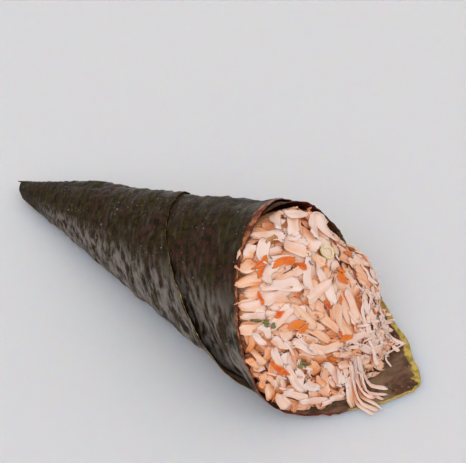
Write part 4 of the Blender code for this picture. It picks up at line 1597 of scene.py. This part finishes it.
class TEMAKI_OT_stage(bpy.types.Operator):
    """Set the floor, the lights and the camera"""
    bl_idname = "temaki.stage"
    bl_label = "Stage"
    bl_options = {"REGISTER", "UNDO"}

    def execute(self, context):
        settings = context.scene.temaki_stage
        scene = context.scene
        material, tree, shader = new_material("White polyethylene board, moulded matt")
        place = add_node(tree, "ShaderNodeTexCoord").outputs["Object"]
        # The moulded grain, 1.5 mm across, and light that sinks in, which softens the shadows
        mottle = add_node(tree, "ShaderNodeTexNoise", {"Vector": place, "Scale": 1.0 / (1.5 * MM),
                                                       "Detail": 2.0, "Roughness": 0.5})
        shade = tuple(FLOOR_MOTTLE * part for part in settings.floor)
        colour = add_node(tree, "ShaderNodeMix", {0: mottle.outputs["Fac"], 6: shade,
                                                  7: tuple(settings.floor)}, data_type="RGBA")
        tree.links.new(colour.outputs[2], shader.inputs["Base Color"])
        shader.inputs["Roughness"].default_value = 0.6
        shader.inputs["Subsurface Weight"].default_value = 1.0
        shader.inputs["Subsurface Radius"].default_value = (1.0, 0.62, 0.35)
        shader.inputs["Subsurface Scale"].default_value = FLOOR_SCATTER
        size, top, under = FLOOR_HALF, TABLE_Z - FLOOR_GAP, TABLE_Z - FLOOR_THICKNESS
        corners = [(x, y, z) for z in (under, top)
                   for x, y in ((-size, -size), (size, -size), (size, size), (-size, size))]
        sides = [(side, (side + 1) % 4, (side + 1) % 4 + 4, side + 4) for side in range(4)]
        floor = new_piece("floor", corners, [(3, 2, 1, 0), (4, 5, 6, 7)] + sides, [material])
        floor.data.shade_flat()

        world = bpy.data.worlds.new("Soft surroundings")
        scene.world = world
        world.use_nodes = True
        background = world.node_tree.nodes["Background"]
        background.inputs["Color"].default_value = (*AMBIENT_COLOUR, 1.0)
        background.inputs["Strength"].default_value = settings.ambient

        for name, direction, distance, size, power, colour in (
                ("key_light", KEY_DIRECTION, KEY_DISTANCE, KEY_SIZE, settings.key_power,
                 (1.0, 1.0, 1.0)),
                ("window_light", WINDOW_DIRECTION, WINDOW_DISTANCE, WINDOW_SIZE,
                 settings.window_power, WINDOW_COLOUR)):
            light = bpy.data.lights.new(name, "AREA")
            light.shape = "DISK"
            light.size = size
            light.energy = power
            light.color = colour
            lamp = bpy.data.objects.new(name, light)
            scene.collection.objects.link(lamp)
            lamp.location = VIEW_TARGET + direction.normalized() * distance
            lamp.rotation_euler = direction.to_track_quat("Z", "Y").to_euler()

        lens = bpy.data.cameras.new("camera")
        lens.lens = VIEW_LENS
        lens.sensor_width = 36.0
        lens.clip_start = 0.01
        camera = bpy.data.objects.new("camera", lens)
        scene.collection.objects.link(camera)
        outward = Vector((math.sin(VIEW_AZIMUTH) * math.cos(VIEW_ELEVATION),
                          -math.cos(VIEW_AZIMUTH) * math.cos(VIEW_ELEVATION),
                          math.sin(VIEW_ELEVATION)))
        camera.location = VIEW_TARGET + outward * VIEW_DISTANCE
        camera.rotation_euler = outward.to_track_quat("Z", "Y").to_euler()
        scene.camera = camera
        # Colours are shown as they are, with no film curve
        scene.view_settings.view_transform = "Standard"
        return {"FINISHED"}


class TEMAKI_PT_panel(bpy.types.Panel):
    """Lists the steps that build the hand roll"""
    bl_label = "Temaki hand roll"
    bl_idname = "TEMAKI_PT_panel"
    bl_space_type = "VIEW_3D"
    bl_region_type = "UI"
    bl_category = "Temaki"

    def draw(self, context):
        layout = self.layout
        for group in GROUPS.values():
            settings = getattr(context.scene, group)
            box = layout.box()
            for name in settings.__annotations__:
                box.prop(settings, name)
        for step in STEPS:
            layout.operator(step.bl_idname)


GROUPS = {NoriSettings: "temaki_nori", SaladSettings: "temaki_salad",
          StageSettings: "temaki_stage"}
STEPS = (TEMAKI_OT_nori_wrap, TEMAKI_OT_salad_core, TEMAKI_OT_crab_shreds,
         TEMAKI_OT_skin_bits, TEMAKI_OT_fibres, TEMAKI_OT_garnish, TEMAKI_OT_stage)


def register():
    """Adds the settings, the operators and the panel."""
    for group, name in GROUPS.items():
        bpy.utils.register_class(group)
        setattr(bpy.types.Scene, name, PointerProperty(type=group))
    for step in STEPS:
        bpy.utils.register_class(step)
    bpy.utils.register_class(TEMAKI_PT_panel)


def unregister():
    """Takes them away again."""
    bpy.utils.unregister_class(TEMAKI_PT_panel)
    for step in reversed(STEPS):
        bpy.utils.unregister_class(step)
    for group, name in GROUPS.items():
        delattr(bpy.types.Scene, name)
        bpy.utils.unregister_class(group)


def main():
    """Builds the hand roll and its stage."""
    register()
    for step in STEPS:
        family, action = step.bl_idname.split(".")
        getattr(getattr(bpy.ops, family), action)()


if __name__ == "__main__":
    main()
